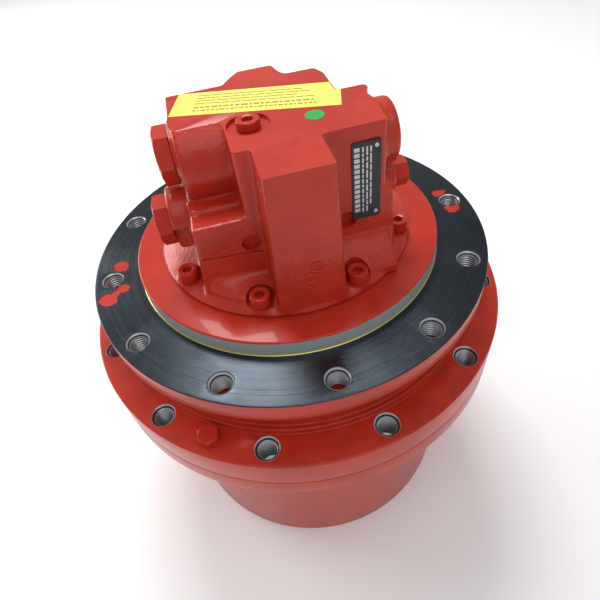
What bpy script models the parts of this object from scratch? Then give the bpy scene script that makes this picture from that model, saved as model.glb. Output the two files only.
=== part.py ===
"""Excavator track drive: a plug-in hydraulic motor on a two-stage planetary gearbox.

The drive stands on its end cover with the motor up. The drive axis is +Z and the origin is the
centre of the drum rim that it stands on. The front of the motor block faces -Y. The spindle with
the frame flange is fixed, and the drum with the sprocket flange turns around it.
"""
import math

import bmesh
import bpy
from mathutils import Matrix

# Fits between pieces that touch, how far a cutting tool passes the face it cuts, and the turning resolution
SEAT = 0.0003
TOOL_REACH = 0.0008
ROUND = 24
SMALL_ROUND = 16
PIN_ROUND = 12
HOLE_SEGMENTS = 10
HIDDEN_SEGMENTS = 8
SCREW_SEGMENTS = 12
BOSS_SEGMENTS = 20
EDGE = 0.0008
THRUST_GAP = 0.0010

# Gears: one module and pressure angle for both stages, and one common ring gear
MODULE = 0.0035
PRESSURE_ANGLE = math.radians(25)
FLANK_GAP = 0.00012
ROOT_DEPTH = 1.25
TOOTH_SMOOTH = 20
UNDERCUT = 0.95
RING_TEETH = 60
SUN_TEETH = 12
PLANET_TEETH = 24
PLANET_COUNT = 3
STAGE_2_TURN = math.radians(30)
PLANET_1_W = 0.0320
PLANET_2_W = 0.0400
PIN_1_R = 0.0100
PIN_2_R = 0.0115
PIN_RUN = 0.0006
PIN_HEAD_T = 0.0040
PIN_HEAD_OVER = 0.0045

# Carriers, sun shafts, coupling sleeve and motor shaft
CARRIER_1_OVER = 0.0170
CARRIER_1_T = 0.0150
CARRIER_2_OVER = 0.0250
CARRIER_2_T = 0.0165
CARRIER_2_UNDER_BEARING = 0.0055
SUN_SHAFT_R = 0.0115
SUN_2_RUN = 0.0010
SUN_2_WALL = 0.0035
MOTOR_SHAFT_R = 0.0150
MOTOR_SHAFT_REACH = 0.0420
MOTOR_SHAFT_HELD = 0.0350
COUPLING_WALL = 0.0065
COUPLING_L = 0.0340
CARRIER_SCREW_R = 0.0040
CARRIER_SCREW_HEAD_R = 0.0075
CARRIER_SCREW_HEAD_H = 0.0055
CARRIER_SCREW_L = 0.0320
SCREW_CLEARANCE = 0.0007
SCREW_END_GAP = 0.0020

# Main bearings, mounted back to back with a spacer sleeve between their inner rings
BEARING_BORE_R = 0.0750
BEARING_SECTION = 0.0280
BEARING_RING_T = 0.0075
BEARING_W = 0.0240
BEARING_GAP = 0.0080
BEARING_TAPER = 0.0012
SPACER_SET_BACK = 0.0008
HUB_RIB_SET_BACK = 0.0005
ROLLER_COUNT = 18
ROLLER_RUN = 0.0012
CAGE_SET_BACK = 0.0026

# Floating face seal, in the space between the skirt of the spindle and the hub
SEAL_LAND_RISE = 0.0030
SEAL_LAND_GAP = 0.0030
SEAL_RING_T = 0.0095
SEAL_RING_H = 0.0105
SEAL_FLOOR_T = 0.0054
SEAL_BACK_GAP = 0.0010
SEAL_FACE_BELOW_SKIRT = 0.0016
SEAL_LIP_H = 0.0015
TORIC_R = 0.0044
TORIC_GAP = 0.00025

# Spindle: frame flange, pilot that centres it in the track frame, seal skirt, bearing seat
FRAME_FLANGE_T = 0.0150
FRAME_FLANGE_MARGIN = 0.0130
PILOT_INSET = 0.0225
PILOT_H = 0.0120
SKIRT_T = 0.0032
SKIRT_H = 0.0220
SPINDLE_WALL = 0.0150
SHAFT_PASS_R = 0.0280
SHAFT_PASS_RELIEF = 0.0060
SPINDLE_FLOOR_T = 0.0060
CARRIER_SCREW_DEPTH = 0.0180

# Bolt circles of the two flanges
BOLT_COUNT = 12
BOLT_HOLE_R = 0.0061
BOLT_CLEARANCE_R = 0.0074
FRAME_BOLTS_OVER_SKIRT = 0.0115
SPROCKET_BOLTS_OVER_DRUM = 0.0180
SPROCKET_BOLTS_OVER_NECK = 0.0100
SPROCKET_BOLT_TURN = math.radians(10.3)

# Sprocket hub and its running gaps
SPROCKET_FLANGE_MARGIN = 0.0120
HUB_FLANGE_T = 0.0235
NECK_H = 0.0267
NECK_WALL = 0.0115
NECK_STEP_OVER = 0.0040
NECK_STEP_H = 0.0042
NECK_GAP = 0.0030
SKIRT_RUNNING_GAP = 0.0020
SPIGOT_WALL = 0.0105
HUB_FOOT_DROP = 0.0025

# Drum with the ring gear, its end cover and retaining ring
DRUM_WALL = 0.0162
DRUM_CHAMFER = 0.0016
RING_FLANGE_T = 0.0170
RING_FLANGE_CHAMFER = 0.0024
DRUM_FILLET = 0.0030
RIM_LIP = 0.0024
COVER_LEDGE = 0.0066
COVER_T = 0.0140
COVER_CLEARANCE = 0.0050
COVER_RING_T = 0.0024
COVER_RING_OVER = 0.0030
COVER_RING_UNDER = 0.0040
THRUST_PAD_R = 0.0150
THRUST_PAD_H = 0.0025
COVER_PLUG_CIRCLE_R = 0.0740
COVER_PLUG_R = 0.0100
COVER_PLUG_HEAD_R = 0.0135
COVER_PLUG_HEAD_T = 0.0028
COVER_PLUG_L = 0.0090
HEX_KEY_R = 0.0058
KEY_DEPTH_SHARE = 0.8

# Hexagon bolts that hold the two halves of the sprocket flange together
FLANGE_BOLT_R = 0.0040
FLANGE_BOLT_HEAD_R = 0.0075
FLANGE_BOLT_HEAD_T = 0.0058
FLANGE_BOLT_L = 0.0340
FLANGE_BOLT_TURN = SPROCKET_BOLT_TURN - math.radians(135)

# Holding brake in the spindle: discs on the coupling sleeve, plates in the bore, a sprung piston over them
BRAKE_DISC_COUNT = 2
BRAKE_DISC_T = 0.0035
BRAKE_PLATE_T = 0.0035
BRAKE_SEAT_W = 0.0100
BRAKE_SEAT_OVER_SLEEVE = 0.0030
BRAKE_DISC_SET_BACK = 0.0040
BRAKE_PLATE_SET_BACK = 0.0006
BRAKE_SLEEVE_GAP = 0.0010
BRAKE_PLATE_BORE_GAP = 0.0045
BRAKE_STROKE = 0.0015
PISTON_NOSE_H = 0.0070
PISTON_NOSE_SET_BACK = 0.0045
PISTON_BORE_GAP = 0.0025
SPRING_T = 0.0020
SPRING_RISE = 0.0060
SPRING_SPAN = 0.0160
SPRING_SET_BACK = 0.0030

# Motor: mounting flange on the pilot, spigot in the spindle, cast block above, cast column at the front
SPIGOT_LEDGE_W = 0.0100
MOTOR_SPIGOT_H = 0.0200
MOTOR_SCREWS_OVER_SPIGOT = 0.0120
MOTOR_FLANGE_MARGIN = 0.0085
MOTOR_FLANGE_EDGE_H = 0.0024
MOTOR_FLANGE_TOP_INSET = 0.0010
MOTOR_FLANGE_TOP_H = 0.0065
MOTOR_CONE_INSET = 0.0120
MOTOR_CONE_H = 0.0147
BLOCK_TOP = 0.1100
BLOCK_FOOT = 0.0300
CASING_TOP = 0.0680
CASING_HALF_W = 0.0600
CASING_HALF_DEPTH = 0.0580
CAST_DRAFT = 0.0035
CAST_EDGE = 0.0020
CAST_LAP = 0.0100
COLUMN_X = -0.0002
COLUMN_W = 0.0370
COLUMN_FRONT = 0.0878
COLUMN_FOOT_SPREAD = 0.0028
BOSS_DEPTH = 0.0290

# Plan of the upper block: its faces left, right, front and back, and the steps between them
BLOCK_FRONT = 0.0585
BLOCK_LEFT = -0.0580
BLOCK_BACK = 0.0260
SHOULDER_X = -0.0290
FRONT_LEFT_X = -0.0285
FRONT_STEP_X = 0.0195
BLOCK_RIGHT = 0.0555
RIGHT_SET_BACK = 0.0010
RIGHT_LAND_X = 0.0585
RIGHT_LAND_Y = (-0.0205, -0.0180, -0.0125)
RIGHT_BACK_X = (0.0405, 0.0370, 0.0180)
RIGHT_BACK_Y = (0.0150, 0.0245)
REAR_BUMP_X = (0.0150, 0.0125, -0.0100, -0.0170, -0.0220)
REAR_BUMP_Y = (0.0300, 0.0425, 0.0340)

# Motor screws and their pockets, at angles counted from the front
MOTOR_SCREW_ANGLES = (22.4, 62.6, 117.4, 157.6, 202.4, 242.6, 297.4, 337.6)
MOTOR_SCREW_SEAT = 0.0050
SCREW_R = 0.0040
SCREW_HEAD_R = 0.0065
SCREW_HEAD_H = 0.0080
SCREW_L = 0.0300
PAD_R = 0.0082
POCKET_R = 0.0092
POCKET_H = 0.0400

# Port bosses and plugs lie along X, each at (face x, centre y, centre height above the frame face)
LEFT_UPPER_BOSS = (-0.0580, -0.0090, 0.0860)
LEFT_UPPER_BOSS_R = 0.0270
LEFT_UPPER_LAND = (-0.0603, -0.0090, 0.0906)
LEFT_UPPER_LAND_R = 0.0185
LEFT_LOWER_BOSS = (-0.0729, -0.0180, 0.0530)
LEFT_LOWER_BOSS_R = 0.0200
RIGHT_UPPER_BOSS = (0.0660, -0.0350, 0.0910)
RIGHT_UPPER_BOSS_R = 0.0190
RIGHT_UPPER_PORT_R = 0.0095
RIGHT_UPPER_PORT_DEPTH = 0.0160
RIGHT_LOWER_BOSS = (0.0680, -0.0330, 0.0600)
RIGHT_LOWER_BOSS_R = 0.0125
UPPER_PLUG_HEX_R = 0.0177
LOWER_PLUG_HEX_R = 0.0160
RIGHT_PLUG_HEX_R = 0.0092
PLUG_HEAD_T = 0.0092
PLUG_SHANK_R = 0.0065
PLUG_SHANK_L = 0.0120

# Front lower corner on the right, which slopes out over the mounting flange
WEDGE_X = (0.0170, 0.0594)
WEDGE_TOP_Z = 0.0365
WEDGE_FOOT_Z = 0.0200
WEDGE_FOOT_Y = 0.0740

# Spot face with the socket plug on top of the block, and the two blind holes beside the column
SPOT_X = -0.0151
SPOT_Y = -0.0311
SPOT_R = 0.0125
SPOT_DEPTH = 0.0020
TOP_PLUG_R = 0.0068
TOP_PLUG_H = 0.0050
TOP_PLUG_SHANK_R = 0.0045
TOP_PLUG_SHANK_L = 0.0080
TOP_PLUG_KEY_R = 0.0036
TOP_PLUG_KEY_DEPTH = 0.0025
SIDE_HOLE_X = 0.0297
SIDE_HOLE_MIDDLE_X = 0.0015
SIDE_HOLE_Z = 0.0507
SIDE_HOLE_R = 0.0060
SIDE_HOLE_DEPTH = 0.0120

# Heights, stacked from the drum rim up: cover, first stage, second stage, bearings, seal, flanges
COVER_FACE = RIM_LIP + COVER_RING_T + 3 * SEAT
COVER_TOP = COVER_FACE + COVER_T
COVER_SEAT = COVER_TOP + SEAT
PLANET_1_LOW = COVER_TOP + COVER_CLEARANCE + PIN_HEAD_T + THRUST_GAP
CARRIER_1_LOW = PLANET_1_LOW + PLANET_1_W + THRUST_GAP
CARRIER_1_TOP = CARRIER_1_LOW + CARRIER_1_T
PLANET_2_LOW = CARRIER_1_TOP + 2 * THRUST_GAP + PIN_HEAD_T
CARRIER_2_LOW = PLANET_2_LOW + PLANET_2_W + THRUST_GAP
CARRIER_2_TOP = CARRIER_2_LOW + CARRIER_2_T
TEETH_TOP = CARRIER_2_LOW - SEAT
LOWER_BEARING_LOW = CARRIER_2_TOP + SEAT
SPACER_LOW = LOWER_BEARING_LOW + BEARING_W + SEAT
SPACER_TOP = SPACER_LOW + BEARING_GAP - 2 * SEAT
UPPER_BEARING_LOW = SPACER_TOP + SEAT
BEARING_TOP = UPPER_BEARING_LOW + BEARING_W
BEARING_SHOULDER = BEARING_TOP + SEAT
HUB_FOOT = LOWER_BEARING_LOW - HUB_FOOT_DROP
SEAL_FLOOR = BEARING_TOP + SEAL_FLOOR_T
SEAL_MEET = SEAL_FLOOR + SEAL_BACK_GAP + SEAL_RING_H
SKIRT_END = SEAL_MEET + SEAL_FACE_BELOW_SKIRT
FLANGE_UNDERSIDE = SKIRT_END + SKIRT_H
FRAME_FACE = FLANGE_UNDERSIDE + FRAME_FLANGE_T
PILOT_TOP = FRAME_FACE + PILOT_H
HUB_TOP = FLANGE_UNDERSIDE - NECK_GAP
SPROCKET_FACE = HUB_TOP - NECK_H
HUB_FLANGE_UNDERSIDE = SPROCKET_FACE - HUB_FLANGE_T
RING_TOP = HUB_FLANGE_UNDERSIDE - SEAT
RING_FLANGE_UNDERSIDE = RING_TOP - RING_FLANGE_T
SPINDLE_FOOT = CARRIER_2_TOP + SEAT
SPINDLE_FLOOR = SPINDLE_FOOT + SPINDLE_FLOOR_T
SPIGOT_LEDGE = PILOT_TOP - MOTOR_SPIGOT_H
MOTOR_FLANGE_LOW = PILOT_TOP + SEAT
MOTOR_SPIGOT_LOW = MOTOR_FLANGE_LOW - MOTOR_SPIGOT_H
SCREW_SEAT = MOTOR_FLANGE_LOW + MOTOR_SCREW_SEAT
SHAFT_MEET = SPIGOT_LEDGE - MOTOR_SHAFT_REACH
SLEEVE_LOW = SHAFT_MEET - COUPLING_L / 2
BRAKE_SEAT = SLEEVE_LOW + BRAKE_SEAT_OVER_SLEEVE
BRAKE_STACK_TOP = BRAKE_SEAT + BRAKE_DISC_COUNT * (BRAKE_DISC_T + BRAKE_PLATE_T + 2 * SEAT)
PISTON_LOW = BRAKE_STACK_TOP + SEAT
SPRING_LOW = MOTOR_SPIGOT_LOW - SEAT - BRAKE_STROKE - SPRING_T - SPRING_RISE
PISTON_TOP = SPRING_LOW - SEAT

# Radii of the gears
RING_PITCH_R = MODULE * RING_TEETH / 2
RING_ROOT_R = RING_PITCH_R + ROOT_DEPTH * MODULE
RING_TIP_R = RING_PITCH_R - MODULE
PLANET_CENTRE_R = MODULE * (SUN_TEETH + PLANET_TEETH) / 2

# Radii from the bearings outwards: seal, skirt, neck, bolt circles, flanges
INNER_RING_R = BEARING_BORE_R + BEARING_RING_T
BEARING_OUTER_R = BEARING_BORE_R + BEARING_SECTION
OUTER_RING_R = BEARING_OUTER_R - BEARING_RING_T
HUB_RIB_R = OUTER_RING_R + HUB_RIB_SET_BACK
SPIGOT_R = BEARING_OUTER_R + SPIGOT_WALL
SEAL_LAND_R = OUTER_RING_R
SEAL_RING_IN_R = SEAL_LAND_R + SEAL_LAND_GAP
SEAL_RING_OUT_R = SEAL_RING_IN_R + SEAL_RING_T
SKIRT_IN_R = SEAL_RING_OUT_R + 2 * (TORIC_R + TORIC_GAP)
SKIRT_R = SKIRT_IN_R + SKIRT_T
HUB_NECK_R = SKIRT_R + SKIRT_RUNNING_GAP + NECK_WALL
NECK_STEP_R = HUB_NECK_R + NECK_STEP_OVER
FRAME_BOLT_CIRCLE_R = SKIRT_R + FRAME_BOLTS_OVER_SKIRT
FRAME_FLANGE_R = FRAME_BOLT_CIRCLE_R + FRAME_FLANGE_MARGIN
PILOT_R = FRAME_BOLT_CIRCLE_R - PILOT_INSET
DRUM_R = max(SPIGOT_R + SEAT, RING_ROOT_R) + DRUM_WALL
COVER_R = RING_ROOT_R + COVER_LEDGE
COVER_RING_R = COVER_R + COVER_RING_OVER
COVER_RING_IN_R = COVER_R - COVER_RING_UNDER
SPROCKET_BOLT_CIRCLE_R = max(DRUM_R + SPROCKET_BOLTS_OVER_DRUM, NECK_STEP_R + SPROCKET_BOLTS_OVER_NECK)
SPROCKET_FLANGE_R = SPROCKET_BOLT_CIRCLE_R + SPROCKET_FLANGE_MARGIN

# Radii from the bearings inwards: brake bore, motor spigot, carriers, shafts
BRAKE_BORE_R = BEARING_BORE_R - SPINDLE_WALL
BRAKE_SEAT_R = BRAKE_BORE_R - BRAKE_SEAT_W
CARRIER_SCREW_CIRCLE_R = (BEARING_BORE_R + BRAKE_BORE_R) / 2
MOTOR_SPIGOT_R = BRAKE_BORE_R + SPIGOT_LEDGE_W
MOTOR_SCREW_CIRCLE_R = MOTOR_SPIGOT_R + MOTOR_SCREWS_OVER_SPIGOT
MOTOR_FLANGE_R = MOTOR_SCREW_CIRCLE_R + MOTOR_FLANGE_MARGIN
MOTOR_FLANGE_TOP_R = MOTOR_SCREW_CIRCLE_R - MOTOR_FLANGE_TOP_INSET
MOTOR_CONE_R = MOTOR_SPIGOT_R - MOTOR_CONE_INSET
CARRIER_2_R = max(INNER_RING_R + CARRIER_2_UNDER_BEARING, PLANET_CENTRE_R + CARRIER_2_OVER)
CARRIER_2_BORE_R = SHAFT_PASS_R + SHAFT_PASS_RELIEF
CARRIER_1_R = PLANET_CENTRE_R + CARRIER_1_OVER
SUN_2_BORE_R = SUN_SHAFT_R + SUN_2_RUN
SUN_2_HUB_R = SUN_2_BORE_R + SUN_2_WALL
COUPLING_R = MOTOR_SHAFT_R + COUPLING_WALL


def clear_scene():
    """Remove whatever the file opened with."""
    for thing in list(bpy.data.objects):
        bpy.data.objects.remove(thing, do_unlink=True)


def finish(name, colour, roughness, metallic=0.0):
    """Make a plain Principled material."""
    material = bpy.data.materials.new(name)
    material.use_nodes = True
    shader = material.node_tree.nodes["Principled BSDF"]
    shader.inputs["Base Color"].default_value = (*colour, 1.0)
    shader.inputs["Roughness"].default_value = roughness
    shader.inputs["Metallic"].default_value = metallic
    return material


def mesh_from(name, bm, smooth_angle=35):
    """Turn a bmesh into a mesh with its faces outwards and its round faces smooth."""
    bmesh.ops.recalc_face_normals(bm, faces=bm.faces)
    mesh = bpy.data.meshes.new(name)
    bm.to_mesh(mesh)
    bm.free()
    mesh.shade_smooth()
    mesh.set_sharp_from_angle(angle=math.radians(smooth_angle))
    return mesh


def place(name, mesh, material=None, parent=None, at=(0, 0, 0), turn=0.0):
    """Add an object at a place under a parent, turned about Z."""
    thing = bpy.data.objects.new(name, mesh)
    bpy.context.scene.collection.objects.link(thing)
    if material is not None and not mesh.materials:
        mesh.materials.append(material)
    thing.parent = parent
    thing.location = at
    thing.rotation_euler = (0, 0, turn)
    return thing


def axis_empty(name, parent=None, at=(0, 0, 0)):
    """Add an empty that carries the pieces that turn together."""
    empty = bpy.data.objects.new(name, None)
    bpy.context.scene.collection.objects.link(empty)
    empty.parent = parent
    empty.location = at
    return empty


def shape_with(thing, tool_bm, operation):
    """Join a hidden tool shape to a piece, or cut it away, with a live Boolean."""
    tool = place(f"{thing.name}_{operation.lower()}_{len(thing.modifiers)}", mesh_from("tool", tool_bm))
    tool.parent = thing
    tool.hide_render = True
    tool.display_type = "WIRE"
    modifier = thing.modifiers.new(operation.title(), "BOOLEAN")
    modifier.operation = operation
    modifier.solver = "EXACT"
    modifier.object = tool


def cut(thing, tool_bm):
    """Cut a tool shape away from a piece."""
    shape_with(thing, tool_bm, "DIFFERENCE")


def join(thing, tool_bm):
    """Grow a piece by a tool shape."""
    shape_with(thing, tool_bm, "UNION")


def turned(profile, segments=ROUND):
    """Spin a closed (radius, height) outline about Z. Two points may lie on the axis."""
    bm = bmesh.new()
    points = [bm.verts.new((radius, 0, height)) for radius, height in profile]
    edges = []
    for first, second in zip(points, points[1:] + points[:1]):
        if first.co.x > 0 or second.co.x > 0:
            edges.append(bm.edges.new((first, second)))
    bmesh.ops.spin(
        bm,
        geom=points + edges,
        axis=(0, 0, 1),
        cent=(0, 0, 0),
        angle=math.tau,
        steps=segments,
        use_merge=True,
    )
    bmesh.ops.remove_doubles(bm, verts=bm.verts, dist=1e-6)
    bmesh.ops.dissolve_degenerate(bm, edges=bm.edges, dist=1e-7)
    return bm


def tube(inner, outer, low, high):
    """The section of a plain ring."""
    return [(inner, low), (outer, low), (outer, high), (inner, high)]


def rod(radius, low, high, edge=0.0):
    """The section of a round rod from low to high, its ends chamfered by edge."""
    if edge == 0:
        return [(0, low), (radius, low), (radius, high), (0, high)]
    return [
        (0, low),
        (radius - edge, low),
        (radius, low + edge),
        (radius, high - edge),
        (radius - edge, high),
        (0, high),
    ]


def drill(profile, segments):
    """A turned tool whose corners stay off the line from the drive axis through its own centre."""
    bm = turned(profile, segments)
    bmesh.ops.rotate(bm, verts=bm.verts, matrix=Matrix.Rotation(math.pi / segments, 3, "Z"))
    return bm


def circle(radius, count, turn=0.0):
    """Points on a circle, counterclockwise."""
    angles = [turn + math.tau * step / count for step in range(count)]
    return [(radius * math.cos(a), radius * math.sin(a)) for a in angles]


def circle_at(x, y, radius, count):
    """Points on a circle whose centre is at x, y."""
    return [(x + along, y + across) for along, across in circle(radius, count)]


def plate(outlines, low, high):
    """Extrude a flat shape from low to high: an outer outline first, then any holes."""
    bm = bmesh.new()
    for outline in outlines:
        points = [bm.verts.new((x, y, low)) for x, y in outline]
        for first, second in zip(points, points[1:] + points[:1]):
            bm.edges.new((first, second))
    bmesh.ops.triangle_fill(bm, edges=bm.edges[:], use_beauty=True)
    raised = bmesh.ops.extrude_face_region(bm, geom=bm.faces[:])["geom"]
    top = [part for part in raised if isinstance(part, bmesh.types.BMVert)]
    bmesh.ops.translate(bm, verts=top, vec=(0, 0, high - low))
    return bm


def spread(bm, places):
    """Repeat a shape at several (x, y, z, turn) places and return them as one tool shape."""
    mesh = bpy.data.meshes.new("repeat")
    bm.to_mesh(mesh)
    bm.free()
    repeated = bmesh.new()
    for x, y, z, turn in places:
        first = len(repeated.verts)
        repeated.from_mesh(mesh)
        repeated.verts.ensure_lookup_table()
        moved = repeated.verts[first:]
        bmesh.ops.transform(
            repeated,
            verts=moved,
            matrix=Matrix.Translation((x, y, z)) @ Matrix.Rotation(turn, 4, "Z"),
        )
    bpy.data.meshes.remove(mesh)
    return repeated


def on_circle(radius, angles, height=0.0):
    """Places on a circle, each turned to face outwards."""
    return [(radius * math.cos(a), radius * math.sin(a), height, a) for a in angles]


def evenly(count, turn=0.0):
    """Angles spaced evenly round a circle."""
    return [turn + math.tau * step / count for step in range(count)]


def block(x, y, z, edge=0.0, foot_x=0.0, foot_y=0.0):
    """A box between (low, high) pairs with chamfered edges, wider by foot_x and foot_y at its base."""
    bm = bmesh.new()
    bmesh.ops.create_cube(bm, size=1.0)
    for corner in bm.verts:
        wider = foot_x if corner.co.z < 0 else 0.0
        deeper = foot_y if corner.co.z < 0 else 0.0
        corner.co.x = x[0] - wider if corner.co.x < 0 else x[1] + wider
        corner.co.y = y[0] - deeper if corner.co.y < 0 else y[1] + deeper
        corner.co.z = z[0] if corner.co.z < 0 else z[1]
    if edge > 0:
        edges = bm.edges[:]
        bmesh.ops.bevel(bm, geom=edges, offset=edge, affect="EDGES", segments=1, profile=0.5, material=-1)
    return bm


def involute(angle):
    """The involute function of a pressure angle."""
    return math.tan(angle) - angle


def gear_outline(teeth, root, tip, widen, phase=0.0):
    """Corners of an involute spur gear. widen is added to each flank, and phase turns a tooth centre."""
    pitch = MODULE * teeth / 2
    base = pitch * math.cos(PRESSURE_ANGLE)
    radii = [root, base, tip] if root < UNDERCUT * base else [root, tip]
    at_pitch = math.pi / (2 * teeth) + widen / pitch + involute(PRESSURE_ANGLE)
    halves = [at_pitch - involute(math.acos(min(1.0, base / radius))) for radius in radii]
    outline = []
    for tooth in range(teeth):
        centre = phase + math.tau * tooth / teeth
        flank = [(radius, centre - half) for radius, half in zip(radii, halves)]
        flank += [(radius, centre + half) for radius, half in reversed(list(zip(radii, halves)))]
        outline += [(radius * math.cos(a), radius * math.sin(a)) for radius, a in flank]
    return outline


def external_gear(teeth, low, high, bore, phase=0.0):
    """A spur gear, with a round bore if one is given."""
    pitch = MODULE * teeth / 2
    outlines = [gear_outline(teeth, pitch - ROOT_DEPTH * MODULE, pitch + MODULE, -FLANK_GAP, phase)]
    if bore > 0:
        outlines.append(circle(bore, PIN_ROUND))
    return plate(outlines, low, high)


def planet_phase(angle):
    """Turn of a planet that puts its teeth in mesh with the ring, which has a tooth space on +X."""
    return angle - RING_TEETH * angle / PLANET_TEETH


def sun_phase(angle):
    """Turn of the sun that puts its teeth in mesh with a planet at the given angle."""
    facing = angle + math.pi - planet_phase(angle)
    return angle - (math.pi - PLANET_TEETH * facing) / SUN_TEETH


def hexagon(corner_r, segments):
    """A hexagon sampled at evenly spaced angles, so that it can be stacked with circles."""
    outline = []
    for step in range(segments):
        angle = math.tau * step / segments
        reach = corner_r * math.cos(math.pi / 6) / math.cos((angle % (math.pi / 3)) - math.pi / 6)
        outline.append((reach * math.cos(angle), reach * math.sin(angle)))
    return outline


def stacked(sections):
    """A solid through (outline, height) sections that all have the same number of points."""
    bm = bmesh.new()
    rings = [[bm.verts.new((x, y, height)) for x, y in outline] for outline, height in sections]
    count = len(rings[0])
    for lower, upper in zip(rings, rings[1:]):
        for step in range(count):
            following = (step + 1) % count
            bm.faces.new((lower[step], lower[following], upper[following], upper[step]))
    bm.faces.new(list(reversed(rings[0])))
    bm.faces.new(rings[-1])
    return bm


def socket_screw(head_r, head_h, shank_r, length, key_r, key_depth, segments):
    """A socket head screw, its seat at height 0, its shank down and its hexagon socket up."""
    key = hexagon(key_r, segments)
    return stacked([
        (circle(shank_r, segments), -length),
        (circle(shank_r, segments), 0),
        (circle(head_r, segments), 0),
        (circle(head_r, segments), head_h),
        (key, head_h),
        (key, head_h - key_depth),
    ])


def hexagon_bolt(head_r, head_h, shank_r, length, segments):
    """A bolt or plug with a hexagon head, its seat at height 0 and its shank down."""
    return stacked([
        (circle(shank_r, segments), -length),
        (circle(shank_r, segments), 0),
        (hexagon(head_r, segments), 0),
        (hexagon(head_r, segments), head_h),
    ])


def lobed_ring(inner_low, inner_high, outer_low, outer_high, low, high, count, set_back):
    """A roller set in its cage: a ring whose inner and outer faces bulge where each roller lies."""
    steps = 2
    total = count * steps
    bm = bmesh.new()
    rings = []
    for radius, sign, height in (
        (outer_low, -1, low), (outer_high, -1, high), (inner_high, 1, high), (inner_low, 1, low),
    ):
        ring = []
        for step in range(total):
            angle = math.tau * step / total
            reach = radius + sign * set_back if step % steps == 0 else radius
            ring.append(bm.verts.new((reach * math.cos(angle), reach * math.sin(angle), height)))
        rings.append(ring)
    for first, second in zip(rings, rings[1:] + rings[:1]):
        for step in range(total):
            following = (step + 1) % total
            bm.faces.new((first[step], first[following], second[following], second[step]))
    return bm


def motor_screw_angles():
    """Angles of the motor screws in the drive's own frame, where the front is -Y."""
    return [math.radians(from_front - 90) for from_front in MOTOR_SCREW_ANGLES]


def carrier_screw_angles():
    """Angles of the second carrier's screws, midway between its planets."""
    return evenly(PLANET_COUNT, STAGE_2_TURN + math.pi / PLANET_COUNT)


def build_spindle(fixed, finish_of_piece):
    """Frame flange, pilot and seal skirt above, the bearing seat and floor below."""
    ceiling = SKIRT_END + SEAL_RING_H
    profile = [
        (SHAFT_PASS_R, SPINDLE_FOOT),
        (BEARING_BORE_R - SEAT, SPINDLE_FOOT),
        (BEARING_BORE_R - SEAT, BEARING_SHOULDER),
        (INNER_RING_R, BEARING_SHOULDER),
        (SEAL_LAND_R, BEARING_SHOULDER + SEAL_LAND_RISE),
        (SEAL_LAND_R, ceiling),
        (SKIRT_IN_R, ceiling),
        (SKIRT_IN_R, SKIRT_END),
        (SKIRT_R, SKIRT_END),
        (SKIRT_R, FLANGE_UNDERSIDE),
        (FRAME_FLANGE_R, FLANGE_UNDERSIDE),
        (FRAME_FLANGE_R, FRAME_FACE),
        (PILOT_R, FRAME_FACE),
        (PILOT_R, PILOT_TOP - EDGE),
        (PILOT_R - EDGE, PILOT_TOP),
        (MOTOR_SPIGOT_R + SEAT, PILOT_TOP),
        (MOTOR_SPIGOT_R + SEAT, SPIGOT_LEDGE),
        (BRAKE_BORE_R, SPIGOT_LEDGE),
        (BRAKE_BORE_R, BRAKE_SEAT),
        (BRAKE_SEAT_R, BRAKE_SEAT),
        (BRAKE_SEAT_R, SPINDLE_FLOOR),
        (SHAFT_PASS_R, SPINDLE_FLOOR),
    ]
    spindle = place("spindle", mesh_from("spindle", turned(profile)), finish_of_piece, fixed)
    low = FLANGE_UNDERSIDE - TOOL_REACH
    frame_hole = drill(rod(BOLT_HOLE_R, low, FRAME_FACE + TOOL_REACH), HOLE_SEGMENTS)
    cut(spindle, spread(frame_hole, on_circle(FRAME_BOLT_CIRCLE_R, evenly(BOLT_COUNT))))
    screw_end = SCREW_SEAT - SCREW_L - SCREW_END_GAP
    screw_hole = drill(rod(SCREW_R + SCREW_CLEARANCE, screw_end, PILOT_TOP + TOOL_REACH), HIDDEN_SEGMENTS)
    cut(spindle, spread(screw_hole, on_circle(MOTOR_SCREW_CIRCLE_R, motor_screw_angles())))
    carrier_hole = drill(
        rod(CARRIER_SCREW_R + SCREW_CLEARANCE, SPINDLE_FOOT - TOOL_REACH, SPINDLE_FOOT + CARRIER_SCREW_DEPTH),
        HIDDEN_SEGMENTS,
    )
    cut(spindle, spread(carrier_hole, on_circle(CARRIER_SCREW_CIRCLE_R, carrier_screw_angles())))


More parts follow.
